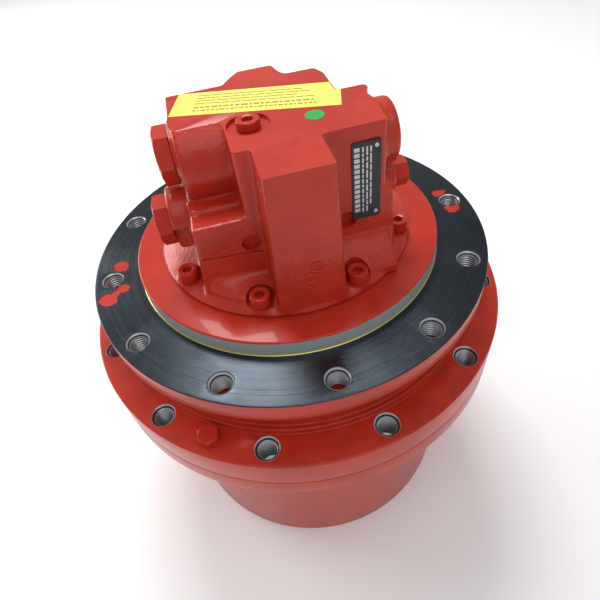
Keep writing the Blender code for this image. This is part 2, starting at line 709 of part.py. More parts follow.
def build_hub(output, paint):
    """Sprocket flange with the neck round the seal, the bearing bores and the spigot below."""
    bore = BEARING_OUTER_R + SEAT
    neck_bore = SKIRT_R + SKIRT_RUNNING_GAP
    profile = [
        (HUB_NECK_R, HUB_TOP),
        (HUB_NECK_R, SPROCKET_FACE + NECK_STEP_H),
        (NECK_STEP_R, SPROCKET_FACE + NECK_STEP_H),
        (NECK_STEP_R, SPROCKET_FACE),
        (SPROCKET_FLANGE_R, SPROCKET_FACE),
        (SPROCKET_FLANGE_R, HUB_FLANGE_UNDERSIDE),
        (SPIGOT_R, HUB_FLANGE_UNDERSIDE),
        (SPIGOT_R, HUB_FOOT),
        (bore, HUB_FOOT),
        (bore, SPACER_LOW),
        (HUB_RIB_R, SPACER_LOW),
        (HUB_RIB_R, SPACER_TOP),
        (bore, SPACER_TOP),
        (bore, SEAL_FLOOR),
        (SKIRT_IN_R, SEAL_FLOOR),
        (SKIRT_IN_R, SEAL_FLOOR + SEAL_RING_H - SEAL_LIP_H),
        (neck_bore, SEAL_FLOOR + SEAL_RING_H),
        (neck_bore, HUB_TOP),
    ]
    hub = place("sprocket_hub", mesh_from("sprocket_hub", turned(profile)), paint, output)
    low = HUB_FLANGE_UNDERSIDE - TOOL_REACH
    high = SPROCKET_FACE + TOOL_REACH
    hole = drill(rod(BOLT_HOLE_R, low, high), HOLE_SEGMENTS)
    cut(hub, spread(hole, on_circle(SPROCKET_BOLT_CIRCLE_R, evenly(BOLT_COUNT, SPROCKET_BOLT_TURN))))
    bolt_hole = drill(rod(FLANGE_BOLT_R + SCREW_CLEARANCE, low, high), HIDDEN_SEGMENTS)
    cut(hub, spread(bolt_hole, on_circle(SPROCKET_BOLT_CIRCLE_R, evenly(2, FLANGE_BOLT_TURN))))


def build_ring_gear(output, paint):
    """Drum with the lower half of the sprocket flange, the ring gear teeth and the cover seat."""
    bore = SPIGOT_R + SEAT
    cover_bore = COVER_R + SEAT
    groove = COVER_RING_R + 2 * SEAT
    uncut = RING_TIP_R - MODULE
    profile = [
        (SPROCKET_FLANGE_R, RING_TOP),
        (SPROCKET_FLANGE_R, RING_FLANGE_UNDERSIDE + RING_FLANGE_CHAMFER),
        (SPROCKET_FLANGE_R - RING_FLANGE_CHAMFER, RING_FLANGE_UNDERSIDE),
        (DRUM_R + DRUM_FILLET, RING_FLANGE_UNDERSIDE),
        (DRUM_R, RING_FLANGE_UNDERSIDE - DRUM_FILLET),
        (DRUM_R, DRUM_CHAMFER),
        (DRUM_R - DRUM_CHAMFER, 0),
        (cover_bore, 0),
        (cover_bore, RIM_LIP),
        (groove, RIM_LIP),
        (groove, COVER_FACE),
        (cover_bore, COVER_FACE),
        (cover_bore, COVER_SEAT),
        (uncut, COVER_SEAT),
        (uncut, TEETH_TOP),
        (bore, TEETH_TOP),
        (bore, RING_TOP),
    ]
    drum = place("ring_gear_drum", mesh_from("ring_gear_drum", turned(profile)), paint, output)
    spaces = gear_outline(RING_TEETH, RING_TIP_R, RING_ROOT_R, FLANK_GAP)
    cut(drum, plate([spaces], COVER_SEAT - TOOL_REACH, TEETH_TOP + TOOL_REACH))
    high = RING_TOP + TOOL_REACH
    hole = drill(rod(BOLT_CLEARANCE_R, RING_FLANGE_UNDERSIDE - TOOL_REACH, high), HOLE_SEGMENTS)
    cut(drum, spread(hole, on_circle(SPROCKET_BOLT_CIRCLE_R, evenly(BOLT_COUNT, SPROCKET_BOLT_TURN))))
    bolt_end = SPROCKET_FACE - FLANGE_BOLT_L - SCREW_END_GAP
    bolt_hole = drill(rod(FLANGE_BOLT_R + SCREW_CLEARANCE, bolt_end, high), HIDDEN_SEGMENTS)
    cut(drum, spread(bolt_hole, on_circle(SPROCKET_BOLT_CIRCLE_R, evenly(2, FLANGE_BOLT_TURN))))


def build_end_cover(output, paint, steel):
    """Flat cover with a thrust pad inside, its retaining ring and its two socket plugs."""
    profile = [
        (0, COVER_FACE),
        (COVER_R, COVER_FACE),
        (COVER_R, COVER_TOP),
        (THRUST_PAD_R, COVER_TOP),
        (THRUST_PAD_R, COVER_TOP + THRUST_PAD_H),
        (0, COVER_TOP + THRUST_PAD_H),
    ]
    cover = place("end_cover", mesh_from("end_cover", turned(profile)), paint, output)
    through_cover = rod(COVER_PLUG_R + SEAT, COVER_FACE - TOOL_REACH, COVER_TOP + TOOL_REACH)
    plug_hole = drill(through_cover, SCREW_SEGMENTS)
    plug_places = on_circle(COVER_PLUG_CIRCLE_R, evenly(2))
    cut(cover, spread(plug_hole, plug_places))

    ring_low = RIM_LIP + 2 * SEAT
    sweep = [math.tau * step / ROUND for step in range(1, ROUND)]
    outline = [(COVER_RING_R * math.cos(a), COVER_RING_R * math.sin(a)) for a in sweep]
    outline += [(COVER_RING_IN_R * math.cos(a), COVER_RING_IN_R * math.sin(a)) for a in reversed(sweep)]
    ring = plate([outline], ring_low, ring_low + COVER_RING_T)
    place("cover_retaining_ring", mesh_from("cover_retaining_ring", ring), steel, output)

    plug = socket_screw(
        COVER_PLUG_HEAD_R,
        COVER_PLUG_HEAD_T,
        COVER_PLUG_R,
        COVER_PLUG_L,
        HEX_KEY_R,
        COVER_PLUG_HEAD_T * KEY_DEPTH_SHARE,
        SCREW_SEGMENTS,
    )
    bmesh.ops.rotate(plug, verts=plug.verts, matrix=Matrix.Rotation(math.pi, 3, "X"))
    mesh = mesh_from("cover_plug", plug)
    for number, (x, y, _, turn) in enumerate(plug_places, 1):
        plug_turn = turn + math.pi / SCREW_SEGMENTS
        place(f"cover_plug_{number}", mesh, steel, output, (x, y, COVER_FACE - SEAT), plug_turn)


def build_flange_bolts(output, paint):
    """Hexagon bolts through the hub flange into the drum flange."""
    bolt = hexagon_bolt(FLANGE_BOLT_HEAD_R, FLANGE_BOLT_HEAD_T, FLANGE_BOLT_R, FLANGE_BOLT_L, SCREW_SEGMENTS)
    mesh = mesh_from("flange_bolt", bolt)
    places = on_circle(SPROCKET_BOLT_CIRCLE_R, evenly(2, FLANGE_BOLT_TURN))
    for number, (x, y, _, turn) in enumerate(places, 1):
        place(f"flange_bolt_{number}", mesh, paint, output, (x, y, SPROCKET_FACE + SEAT), turn)


def build_bearing(name, low, sign, fixed, output, cage_axis, steel):
    """One main bearing: inner ring, outer ring and rollers in their cage. sign is the way it widens."""
    widen_low = -sign * BEARING_TAPER
    widen_high = sign * BEARING_TAPER
    high = low + BEARING_W
    inner = [
        (BEARING_BORE_R, low),
        (INNER_RING_R + widen_low, low),
        (INNER_RING_R + widen_high, high),
        (BEARING_BORE_R, high),
    ]
    outer = [
        (OUTER_RING_R + widen_low, low),
        (BEARING_OUTER_R, low),
        (BEARING_OUTER_R, high),
        (OUTER_RING_R + widen_high, high),
    ]
    place(f"{name}_inner_ring", mesh_from(f"{name}_inner_ring", turned(inner)), steel, fixed)
    place(f"{name}_outer_ring", mesh_from(f"{name}_outer_ring", turned(outer)), steel, output)
    rollers = lobed_ring(
        INNER_RING_R + ROLLER_RUN + widen_low,
        INNER_RING_R + ROLLER_RUN + widen_high,
        OUTER_RING_R - ROLLER_RUN + widen_low,
        OUTER_RING_R - ROLLER_RUN + widen_high,
        low + THRUST_GAP,
        high - THRUST_GAP,
        ROLLER_COUNT,
        CAGE_SET_BACK,
    )
    place(f"{name}_rollers", mesh_from(f"{name}_rollers", rollers, TOOTH_SMOOTH), steel, cage_axis)


def build_seal(fixed, output, steel, rubber):
    """Two lapped rings face to face, each on its own rubber ring."""
    toric_r = (SEAL_RING_OUT_R + SKIRT_IN_R) / 2
    for side, parent, low, toric_z in (
        ("fixed", fixed, SEAL_MEET + SEAT / 2, SKIRT_END + SEAL_RING_H / 2),
        ("turning", output, SEAL_MEET - SEAT / 2 - SEAL_RING_H, SEAL_FLOOR + TORIC_R + SEAT),
    ):
        ring = turned(tube(SEAL_RING_IN_R, SEAL_RING_OUT_R, low, low + SEAL_RING_H))
        place(f"seal_ring_{side}", mesh_from(f"seal_ring_{side}", ring), steel, parent)
        section = [(toric_r + x, toric_z + z) for x, z in circle(TORIC_R, 4)]
        place(f"toric_ring_{side}", mesh_from(f"toric_ring_{side}", turned(section)), rubber, parent)


def build_planets(stage, width, low, turn, carrier, steel, pin_r, pin_top):
    """Planet gears on their pins. Each gear has its origin on its own axis."""
    for number, angle in enumerate(evenly(PLANET_COUNT, turn), 1):
        x = PLANET_CENTRE_R * math.cos(angle)
        y = PLANET_CENTRE_R * math.sin(angle)
        axis = axis_empty(f"planet_{stage}_{number}_axis", carrier, (x, y, 0))
        gear = external_gear(PLANET_TEETH, low, low + width, pin_r + PIN_RUN, planet_phase(angle))
        name = f"planet_gear_{stage}_{number}"
        place(name, mesh_from(name, gear, TOOTH_SMOOTH), steel, axis)
        head_low = low - THRUST_GAP - PIN_HEAD_T
        head_r = pin_r + PIN_HEAD_OVER
        profile = [
            (0, head_low),
            (head_r, head_low),
            (head_r, head_low + PIN_HEAD_T),
            (pin_r, head_low + PIN_HEAD_T),
            (pin_r, pin_top),
            (0, pin_top),
        ]
        name = f"planet_pin_{stage}_{number}"
        place(name, mesh_from(name, turned(profile, PIN_ROUND)), steel, carrier, (x, y, 0))


def build_carrier_2(fixed, steel):
    """Second-stage carrier, screwed to the foot of the spindle, where it also clamps the bearings."""
    outlines = [circle(CARRIER_2_R, ROUND), circle(CARRIER_2_BORE_R, SMALL_ROUND)]
    for x, y, _, _ in on_circle(PLANET_CENTRE_R, evenly(PLANET_COUNT, STAGE_2_TURN)):
        outlines.append(circle_at(x, y, PIN_2_R + SEAT, PIN_ROUND))
    screw_places = on_circle(CARRIER_SCREW_CIRCLE_R, carrier_screw_angles())
    for x, y, _, _ in screw_places:
        outlines.append(circle_at(x, y, CARRIER_SCREW_R + SCREW_CLEARANCE, HIDDEN_SEGMENTS))
    body = plate(outlines, CARRIER_2_LOW, CARRIER_2_TOP)
    place("planet_carrier_2", mesh_from("planet_carrier_2", body), steel, fixed)
    screw = hexagon_bolt(
        CARRIER_SCREW_HEAD_R,
        CARRIER_SCREW_HEAD_H,
        CARRIER_SCREW_R,
        CARRIER_SCREW_L,
        SCREW_SEGMENTS,
    )
    bmesh.ops.rotate(screw, verts=screw.verts, matrix=Matrix.Rotation(math.pi, 3, "X"))
    mesh = mesh_from("carrier_screw", screw)
    for number, (x, y, _, turn) in enumerate(screw_places, 1):
        place(f"carrier_screw_{number}", mesh, steel, fixed, (x, y, CARRIER_2_LOW - SEAT), turn)


def build_carrier_1(carrier_axis, steel):
    """First-stage carrier and the hollow second sun that it drives."""
    outlines = [circle(CARRIER_1_R, ROUND), circle(SUN_2_HUB_R + SEAT, PIN_ROUND)]
    for x, y, _, _ in on_circle(PLANET_CENTRE_R, evenly(PLANET_COUNT)):
        outlines.append(circle_at(x, y, PIN_1_R + SEAT, PIN_ROUND))
    body = plate(outlines, CARRIER_1_LOW, CARRIER_1_TOP)
    place("planet_carrier_1", mesh_from("planet_carrier_1", body), steel, carrier_axis)
    teeth_low = CARRIER_1_TOP + 2 * SEAT
    teeth_top = CARRIER_2_LOW + CARRIER_2_T / 2
    gear = external_gear(SUN_TEETH, teeth_low, teeth_top, SUN_2_BORE_R, sun_phase(STAGE_2_TURN))
    sun = place("sun_gear_2", mesh_from("sun_gear_2", gear, TOOTH_SMOOTH), steel, carrier_axis)
    join(sun, turned(tube(SUN_2_BORE_R, SUN_2_HUB_R, CARRIER_1_LOW, teeth_low + TOOL_REACH), PIN_ROUND))


def build_input(input_axis, steel):
    """Sun shaft with the first sun, the coupling sleeve and the motor shaft."""
    gear = external_gear(SUN_TEETH, PLANET_1_LOW - THRUST_GAP, PLANET_1_LOW + PLANET_1_W, 0, sun_phase(0.0))
    sun = place("sun_shaft", mesh_from("sun_shaft", gear, TOOTH_SMOOTH), steel, input_axis)
    profile = [
        (0, COVER_TOP + THRUST_PAD_H + SEAT),
        (SUN_SHAFT_R, COVER_TOP + THRUST_PAD_H + SEAT),
        (SUN_SHAFT_R, SLEEVE_LOW),
        (MOTOR_SHAFT_R, SLEEVE_LOW),
        (MOTOR_SHAFT_R, SHAFT_MEET - SEAT),
        (0, SHAFT_MEET - SEAT),
    ]
    join(sun, turned(profile, SMALL_ROUND))
    sleeve = turned(tube(MOTOR_SHAFT_R + SEAT, COUPLING_R, SLEEVE_LOW, SLEEVE_LOW + COUPLING_L), SMALL_ROUND)
    place("shaft_coupling", mesh_from("shaft_coupling", sleeve), steel, input_axis)
    shaft = turned(rod(MOTOR_SHAFT_R, SHAFT_MEET, SPIGOT_LEDGE + MOTOR_SHAFT_HELD, EDGE), SMALL_ROUND)
    place("motor_shaft", mesh_from("motor_shaft", shaft), steel, input_axis)


def build_brake(fixed, input_axis, piston_axis, steel, lining):
    """Holding brake: a stack of discs and plates, the piston that presses it and the piston's disc spring."""
    disc = tube(COUPLING_R + BRAKE_SLEEVE_GAP, BRAKE_BORE_R - BRAKE_DISC_SET_BACK, 0, BRAKE_DISC_T)
    disc_mesh = mesh_from("brake_disc", turned(disc, SMALL_ROUND))
    plate_out = BRAKE_BORE_R - BRAKE_PLATE_SET_BACK
    plate_ring = tube(COUPLING_R + BRAKE_PLATE_BORE_GAP, plate_out, 0, BRAKE_PLATE_T)
    plate_mesh = mesh_from("brake_plate", turned(plate_ring, SMALL_ROUND))
    height = BRAKE_SEAT
    for number in range(1, BRAKE_DISC_COUNT + 1):
        place(f"brake_disc_{number}", disc_mesh, lining, input_axis, (0, 0, height + SEAT))
        height += SEAT + BRAKE_DISC_T
        place(f"brake_plate_{number}", plate_mesh, steel, fixed, (0, 0, height + SEAT))
        height += SEAT + BRAKE_PLATE_T

    outer = BRAKE_BORE_R - SEAT
    bore = COUPLING_R + PISTON_BORE_GAP
    piston = [
        (bore, PISTON_LOW),
        (outer - PISTON_NOSE_SET_BACK, PISTON_LOW),
        (outer - PISTON_NOSE_SET_BACK, PISTON_LOW + PISTON_NOSE_H),
        (outer, PISTON_LOW + PISTON_NOSE_H),
        (outer, PISTON_TOP),
        (bore, PISTON_TOP),
    ]
    place("brake_piston", mesh_from("brake_piston", turned(piston)), steel, piston_axis)
    spring_out = BRAKE_BORE_R - SPRING_SET_BACK
    spring_in = spring_out - SPRING_SPAN
    spring = [
        (spring_out, SPRING_LOW),
        (spring_out, SPRING_LOW + SPRING_T),
        (spring_in, SPRING_LOW + SPRING_RISE + SPRING_T),
        (spring_in, SPRING_LOW + SPRING_RISE),
    ]
    spring_mesh = mesh_from("brake_disc_spring", turned(spring, SMALL_ROUND))
    place("brake_disc_spring", spring_mesh, steel, piston_axis)


def rod_along_x(place_at, radius, depth, segments, outward=0.0):
    """A round rod along X from a face on the side of the block, depth into it and outward beyond it."""
    face_x, y, height = place_at
    bar = turned(rod(radius, -outward, depth), segments)
    side = 1 if face_x < 0 else -1
    lie_down = Matrix.Rotation(side * math.pi / 2, 4, "Y")
    to_face = Matrix.Translation((face_x, y, FRAME_FACE + height))
    bmesh.ops.transform(bar, verts=bar.verts, matrix=to_face @ lie_down)
    return bar


def upper_block_outline():
    """Plan of the upper block: left shoulder, front, the steps at the right, the bump at the back."""
    boss_y = LEFT_UPPER_BOSS[1]
    return [
        (BLOCK_LEFT, BLOCK_BACK),
        (BLOCK_LEFT, boss_y),
        (SHOULDER_X, boss_y),
        (FRONT_LEFT_X, -BLOCK_FRONT),
        (FRONT_STEP_X, -BLOCK_FRONT),
        (BLOCK_RIGHT, RIGHT_SET_BACK - BLOCK_FRONT),
        (BLOCK_RIGHT, RIGHT_LAND_Y[0]),
        (RIGHT_LAND_X, RIGHT_LAND_Y[1]),
        (RIGHT_LAND_X, RIGHT_LAND_Y[2]),
        (RIGHT_BACK_X[0], RIGHT_LAND_Y[2]),
        (RIGHT_BACK_X[0], RIGHT_BACK_Y[0]),
        (RIGHT_BACK_X[1], RIGHT_BACK_Y[1]),
        (RIGHT_BACK_X[2], RIGHT_BACK_Y[1]),
        (REAR_BUMP_X[0], REAR_BUMP_Y[0]),
        (REAR_BUMP_X[1], REAR_BUMP_Y[1]),
        (REAR_BUMP_X[2], REAR_BUMP_Y[1]),
        (REAR_BUMP_X[3], REAR_BUMP_Y[2]),
        (REAR_BUMP_X[4], BLOCK_BACK),
    ]


def cast_block(motor):
    """Join the casing, the upper block, the front column and the sloping corner to the motor flange."""
    low = MOTOR_FLANGE_LOW
    above = FRAME_FACE + BLOCK_TOP + CAST_EDGE
    inside = CAST_LAP - BLOCK_FRONT
    width = (-CASING_HALF_W, CASING_HALF_W)
    depth = (-CASING_HALF_DEPTH, CASING_HALF_DEPTH)
    casing_z = (low + MOTOR_FLANGE_EDGE_H, FRAME_FACE + CASING_TOP)
    join(motor, block(width, depth, casing_z, CAST_EDGE, CAST_DRAFT, EDGE / 2))
    join(motor, plate([upper_block_outline()], FRAME_FACE + BLOCK_FOOT, above))
    column_x = (COLUMN_X - COLUMN_W / 2, COLUMN_X + COLUMN_W / 2)
    column_z = (low + EDGE / 2, above + CAST_EDGE)
    join(motor, block(column_x, (-COLUMN_FRONT, inside), column_z, CAST_EDGE, COLUMN_FOOT_SPREAD, EDGE / 2))

    foot_z = low + EDGE - FRAME_FACE
    section = [
        (inside, foot_z),
        (-WEDGE_FOOT_Y, foot_z),
        (-WEDGE_FOOT_Y, WEDGE_FOOT_Z),
        (-BLOCK_FRONT, WEDGE_TOP_Z),
        (inside, WEDGE_TOP_Z),
    ]
    wedge = plate([section], *WEDGE_X)
    across = Matrix(((0, 0, 1, 0), (1, 0, 0, 0), (0, 1, 0, FRAME_FACE), (0, 0, 0, 1)))
    bmesh.ops.transform(wedge, verts=wedge.verts, matrix=across)
    join(motor, wedge)


def cut_ports(motor):
    """Cut the bores for the port plugs, the open port, the spot face on top and the two front holes."""
    plug_bore = PLUG_SHANK_R + SEAT
    plug_depth = PLUG_SHANK_L + THRUST_GAP
    for port, radius, depth in (
        (LEFT_UPPER_LAND, plug_bore, plug_depth),
        (LEFT_LOWER_BOSS, plug_bore, plug_depth),
        (RIGHT_LOWER_BOSS, plug_bore, plug_depth),
        (RIGHT_UPPER_BOSS, RIGHT_UPPER_PORT_R, RIGHT_UPPER_PORT_DEPTH),
    ):
        cut(motor, rod_along_x(port, radius, depth, SCREW_SEGMENTS, TOOL_REACH))

    top = FRAME_FACE + BLOCK_TOP
    shank_end = top - SPOT_DEPTH - TOP_PLUG_SHANK_L - THRUST_GAP
    profile = [
        (0, shank_end),
        (TOP_PLUG_SHANK_R + SEAT, shank_end),
        (TOP_PLUG_SHANK_R + SEAT, top - SPOT_DEPTH),
        (SPOT_R, top - SPOT_DEPTH),
        (SPOT_R, top + TOOL_REACH),
        (0, top + TOOL_REACH),
    ]
    cut(motor, spread(turned(profile, SMALL_ROUND), [(SPOT_X, SPOT_Y, 0, 0)]))
    side_hole = turned(rod(SIDE_HOLE_R, -CAST_EDGE, SIDE_HOLE_DEPTH), HOLE_SEGMENTS)
    bmesh.ops.rotate(side_hole, verts=side_hole.verts, matrix=Matrix.Rotation(-math.pi / 2, 3, "X"))
    height = FRAME_FACE + SIDE_HOLE_Z
    sides = (SIDE_HOLE_MIDDLE_X - SIDE_HOLE_X, SIDE_HOLE_MIDDLE_X + SIDE_HOLE_X)
    cut(motor, spread(side_hole, [(x, -BLOCK_FRONT, height, 0) for x in sides]))


def build_motor(fixed, paint):
    """Motor housing: flange and spigot, cast block, port bosses, screw pads and pockets."""
    low = MOTOR_FLANGE_LOW
    top = FRAME_FACE + BLOCK_TOP
    flange = [
        (0, MOTOR_SPIGOT_LOW),
        (MOTOR_SPIGOT_R, MOTOR_SPIGOT_LOW),
        (MOTOR_SPIGOT_R, low),
        (MOTOR_FLANGE_R, low),
        (MOTOR_FLANGE_R - EDGE, low + MOTOR_FLANGE_EDGE_H),
        (MOTOR_FLANGE_TOP_R, low + MOTOR_FLANGE_TOP_H),
        (MOTOR_CONE_R, low + MOTOR_CONE_H),
        (0, low + MOTOR_CONE_H),
    ]
    motor = place("motor_housing", mesh_from("motor_housing", turned(flange)), paint, fixed)
    cast_block(motor)
    for boss, radius in (
        (LEFT_UPPER_BOSS, LEFT_UPPER_BOSS_R),
        (LEFT_UPPER_LAND, LEFT_UPPER_LAND_R),
        (LEFT_LOWER_BOSS, LEFT_LOWER_BOSS_R),
        (RIGHT_UPPER_BOSS, RIGHT_UPPER_BOSS_R),
        (RIGHT_LOWER_BOSS, RIGHT_LOWER_BOSS_R),
    ):
        join(motor, rod_along_x(boss, radius, BOSS_DEPTH, BOSS_SEGMENTS))
    screw_places = on_circle(MOTOR_SCREW_CIRCLE_R, motor_screw_angles())
    pad = turned(rod(PAD_R, low + EDGE, SCREW_SEAT + EDGE), SCREW_SEGMENTS)
    join(motor, spread(pad, screw_places))
    reach = (-FRAME_FLANGE_R, FRAME_FLANGE_R)
    cut(motor, block(reach, reach, (top, top + BLOCK_TOP)))

    pocket = [
        (0, low - TOOL_REACH),
        (SCREW_R + SCREW_CLEARANCE, low - TOOL_REACH),
        (SCREW_R + SCREW_CLEARANCE, SCREW_SEAT),
        (POCKET_R, SCREW_SEAT),
        (POCKET_R, SCREW_SEAT + POCKET_H),
        (0, SCREW_SEAT + POCKET_H),
    ]
    cut(motor, spread(turned(pocket, SCREW_SEGMENTS), screw_places))
    cut_ports(motor)
    shaft_end = SPIGOT_LEDGE + MOTOR_SHAFT_HELD + THRUST_GAP
    cut(motor, turned(rod(MOTOR_SHAFT_R + THRUST_GAP, MOTOR_SPIGOT_LOW - TOOL_REACH, shaft_end), SMALL_ROUND))


def build_motor_fittings(fixed, steel):
    """The screws that hold the motor, the hexagon plugs in its ports and the socket plug on top."""
    screw = stacked([
        (circle(SCREW_R, HOLE_SEGMENTS), -SCREW_L),
        (circle(SCREW_R, HOLE_SEGMENTS), 0),
        (circle(SCREW_HEAD_R, HOLE_SEGMENTS), 0),
        (circle(SCREW_HEAD_R, HOLE_SEGMENTS), SCREW_HEAD_H),
    ])
    mesh = mesh_from("motor_screw", screw)
    for number, (x, y, _, turn) in enumerate(on_circle(MOTOR_SCREW_CIRCLE_R, motor_screw_angles()), 1):
        place(f"motor_screw_{number}", mesh, steel, fixed, (x, y, SCREW_SEAT + SEAT), turn)

    for name, port, corner_r in (
        ("port_plug_upper", LEFT_UPPER_LAND, UPPER_PLUG_HEX_R),
        ("port_plug_lower", LEFT_LOWER_BOSS, LOWER_PLUG_HEX_R),
        ("port_plug_right", RIGHT_LOWER_BOSS, RIGHT_PLUG_HEX_R),
    ):
        plug = hexagon_bolt(corner_r, PLUG_HEAD_T, PLUG_SHANK_R, PLUG_SHANK_L, SCREW_SEGMENTS)
        side = -1 if port[0] < 0 else 1
        bolt = place(name, mesh_from(name, plug), steel, fixed)
        bolt.location = (port[0] + side * SEAT, port[1], FRAME_FACE + port[2])
        bolt.rotation_euler = (0, side * math.pi / 2, 0)

    top_plug = socket_screw(
        TOP_PLUG_R,
        TOP_PLUG_H,
        TOP_PLUG_SHANK_R,
        TOP_PLUG_SHANK_L,
        TOP_PLUG_KEY_R,
        TOP_PLUG_KEY_DEPTH,
        SCREW_SEGMENTS,
    )
    seat = FRAME_FACE + BLOCK_TOP - SPOT_DEPTH + SEAT
    place("top_socket_plug", mesh_from("top_socket_plug", top_plug), steel, fixed, (SPOT_X, SPOT_Y, seat))


clear_scene()
RED = finish("red paint", (0.46, 0.045, 0.020), 0.35)
STEEL = finish("machined steel", (0.42, 0.45, 0.47), 0.30, 1.0)
DARK_STEEL = finish("hardened steel", (0.30, 0.31, 0.33), 0.25, 1.0)
RUBBER = finish("black rubber", (0.02, 0.02, 0.02), 0.70)
LINING = finish("sintered bronze", (0.32, 0.20, 0.11), 0.60, 0.6)

fixed_side = axis_empty("fixed_side")
output_side = axis_empty("output_side", fixed_side)
carrier_side = axis_empty("carrier_side", fixed_side)
input_side = axis_empty("input_side", fixed_side)
lower_cage = axis_empty("lower_cage_axis", fixed_side)
upper_cage = axis_empty("upper_cage_axis", fixed_side)
piston_slide = axis_empty("brake_piston_axis", fixed_side)

build_spindle(fixed_side, STEEL)
build_hub(output_side, RED)
build_ring_gear(output_side, RED)
build_end_cover(output_side, RED, STEEL)
build_flange_bolts(output_side, RED)
build_bearing("lower_bearing", LOWER_BEARING_LOW, -1, fixed_side, output_side, lower_cage, DARK_STEEL)
build_bearing("upper_bearing", UPPER_BEARING_LOW, 1, fixed_side, output_side, upper_cage, DARK_STEEL)
spacer = turned(tube(BEARING_BORE_R, INNER_RING_R - SPACER_SET_BACK, SPACER_LOW, SPACER_TOP))
place("bearing_spacer", mesh_from("bearing_spacer", spacer), STEEL, fixed_side)
build_seal(fixed_side, output_side, DARK_STEEL, RUBBER)
build_carrier_2(fixed_side, STEEL)
build_carrier_1(carrier_side, STEEL)
pin_2_top = CARRIER_2_TOP - EDGE
build_planets(2, PLANET_2_W, PLANET_2_LOW, STAGE_2_TURN, fixed_side, DARK_STEEL, PIN_2_R, pin_2_top)
build_planets(1, PLANET_1_W, PLANET_1_LOW, 0.0, carrier_side, DARK_STEEL, PIN_1_R, CARRIER_1_TOP)
build_input(input_side, DARK_STEEL)
build_brake(fixed_side, input_side, piston_slide, STEEL, LINING)
build_motor(fixed_side, RED)
build_motor_fittings(fixed_side, STEEL)
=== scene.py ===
"""Looks for the excavator track drive: red enamel castings, a bare frame flange, gear steel inside."""

import itertools
import math

import bmesh
import bpy
from mathutils import Matrix, Vector


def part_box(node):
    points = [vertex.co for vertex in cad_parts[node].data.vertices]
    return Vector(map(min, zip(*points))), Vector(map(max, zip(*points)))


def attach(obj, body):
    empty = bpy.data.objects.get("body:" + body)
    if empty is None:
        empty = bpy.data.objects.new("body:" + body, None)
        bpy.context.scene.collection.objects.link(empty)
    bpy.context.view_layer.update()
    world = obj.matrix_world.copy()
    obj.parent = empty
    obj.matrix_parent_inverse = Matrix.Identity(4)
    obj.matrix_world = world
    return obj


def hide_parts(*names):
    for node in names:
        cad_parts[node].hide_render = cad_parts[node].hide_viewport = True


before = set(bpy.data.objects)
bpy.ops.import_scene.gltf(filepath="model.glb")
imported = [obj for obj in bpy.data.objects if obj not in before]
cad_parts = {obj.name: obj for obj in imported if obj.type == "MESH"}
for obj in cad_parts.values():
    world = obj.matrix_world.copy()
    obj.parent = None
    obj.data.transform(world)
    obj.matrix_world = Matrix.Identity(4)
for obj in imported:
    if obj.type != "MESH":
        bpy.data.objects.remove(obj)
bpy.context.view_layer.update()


def lowest(name):
    """Height of the underside of a CAD node."""
    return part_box(name)[0].z


def highest(name):
    """Height of the top of a CAD node."""
    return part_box(name)[1].z


# Gap between seated pieces, how far a cutter passes a face, and the usual edge rounds
SEAT = 0.0003
REACH = 0.0010
SMALL_EDGE = 0.0008
SEAM_EDGE = 0.0006
RIM_EDGE = 0.0012
MERGE = 1e-6
# Sides of round pieces, and the angles in degrees below which faces shade smooth
FINE = 160
HEAD_SIDES = 72
BOSS_SIDES = 64
SCREW_SIDES = 48
HOLE_SIDES = 32
RIVET_SIDES = 24
SMOOTH_ANGLE = 30
CAST_SMOOTH_ANGLE = 35

# Spindle with the frame flange
PILOT_TOP = highest("spindle")
FRAME_FACE = PILOT_TOP - 0.0120
FLANGE_LOW = FRAME_FACE - 0.0150
FLANGE_R = 0.1450
PILOT_R = 0.1095
SPINDLE_FOOT = lowest("spindle")
SPINDLE_FLOOR = SPINDLE_FOOT + 0.0060
SHAFT_PASS_R = 0.0280
BEARING_BORE_R = 0.0750
BEARING_TOP = highest("upper_bearing_inner_ring")
INNER_RING_R = 0.0825
OUTER_RING_R = 0.0955
SEAL_LAND_TOP = BEARING_TOP + SEAT + 0.0030
SKIRT_IN_R = 0.1173
SKIRT_R = 0.1205
SKIRT_END = FLANGE_LOW - 0.0220
SKIRT_ROOF = SKIRT_END + 0.0105
BRAKE_BORE_R = 0.0600
BRAKE_SEAT_R = 0.0500
BRAKE_SEAT = lowest("brake_disc_1") - SEAT
SPIGOT_LEDGE = PILOT_TOP - 0.0200
SPIGOT_R = 0.0700

# Sprocket hub and drum
HUB_TOP = highest("sprocket_hub")
HUB_FOOT = lowest("sprocket_hub")
SPROCKET_FACE = FRAME_FACE - 0.0447
SPROCKET_R = 0.1600
NECK_R = 0.1340
NECK_STEP_R = 0.1380
NECK_STEP = SPROCKET_FACE + 0.0042
HUB_SPIGOT_R = 0.1135
BEARING_OUTER_R = 0.1030
HUB_RIB_R = 0.0960
SEAL_FLOOR = lowest("seal_ring_turning") - 0.0010
NECK_BORE_R = 0.1225
SPACER_LOW = lowest("bearing_spacer")
SPACER_TOP = highest("bearing_spacer")
SEAL_RING_H = 0.0105
SEAL_LIP_H = 0.0015
RING_TOP = highest("ring_gear_drum")
HUB_SEAM = RING_TOP + SEAT
RING_FLANGE_LOW = RING_TOP - 0.0170
DRUM_R = 0.1300
DRUM_FLANGE_EDGE = 0.0024
DRUM_FILLET = 0.0030
DRUM_FOOT_EDGE = 0.0016
COVER_R = 0.1160
COVER_RING_R = 0.1190
COVER_RING_IN_R = 0.1120
COVER_LOW = lowest("end_cover")
COVER_PAD_H = 0.0025
COVER_TOP = highest("end_cover") - COVER_PAD_H
COVER_PAD_R = 0.0150
COVER_PLUG_CIRCLE_R = 0.0740
COVER_PLUG_R = 0.0100
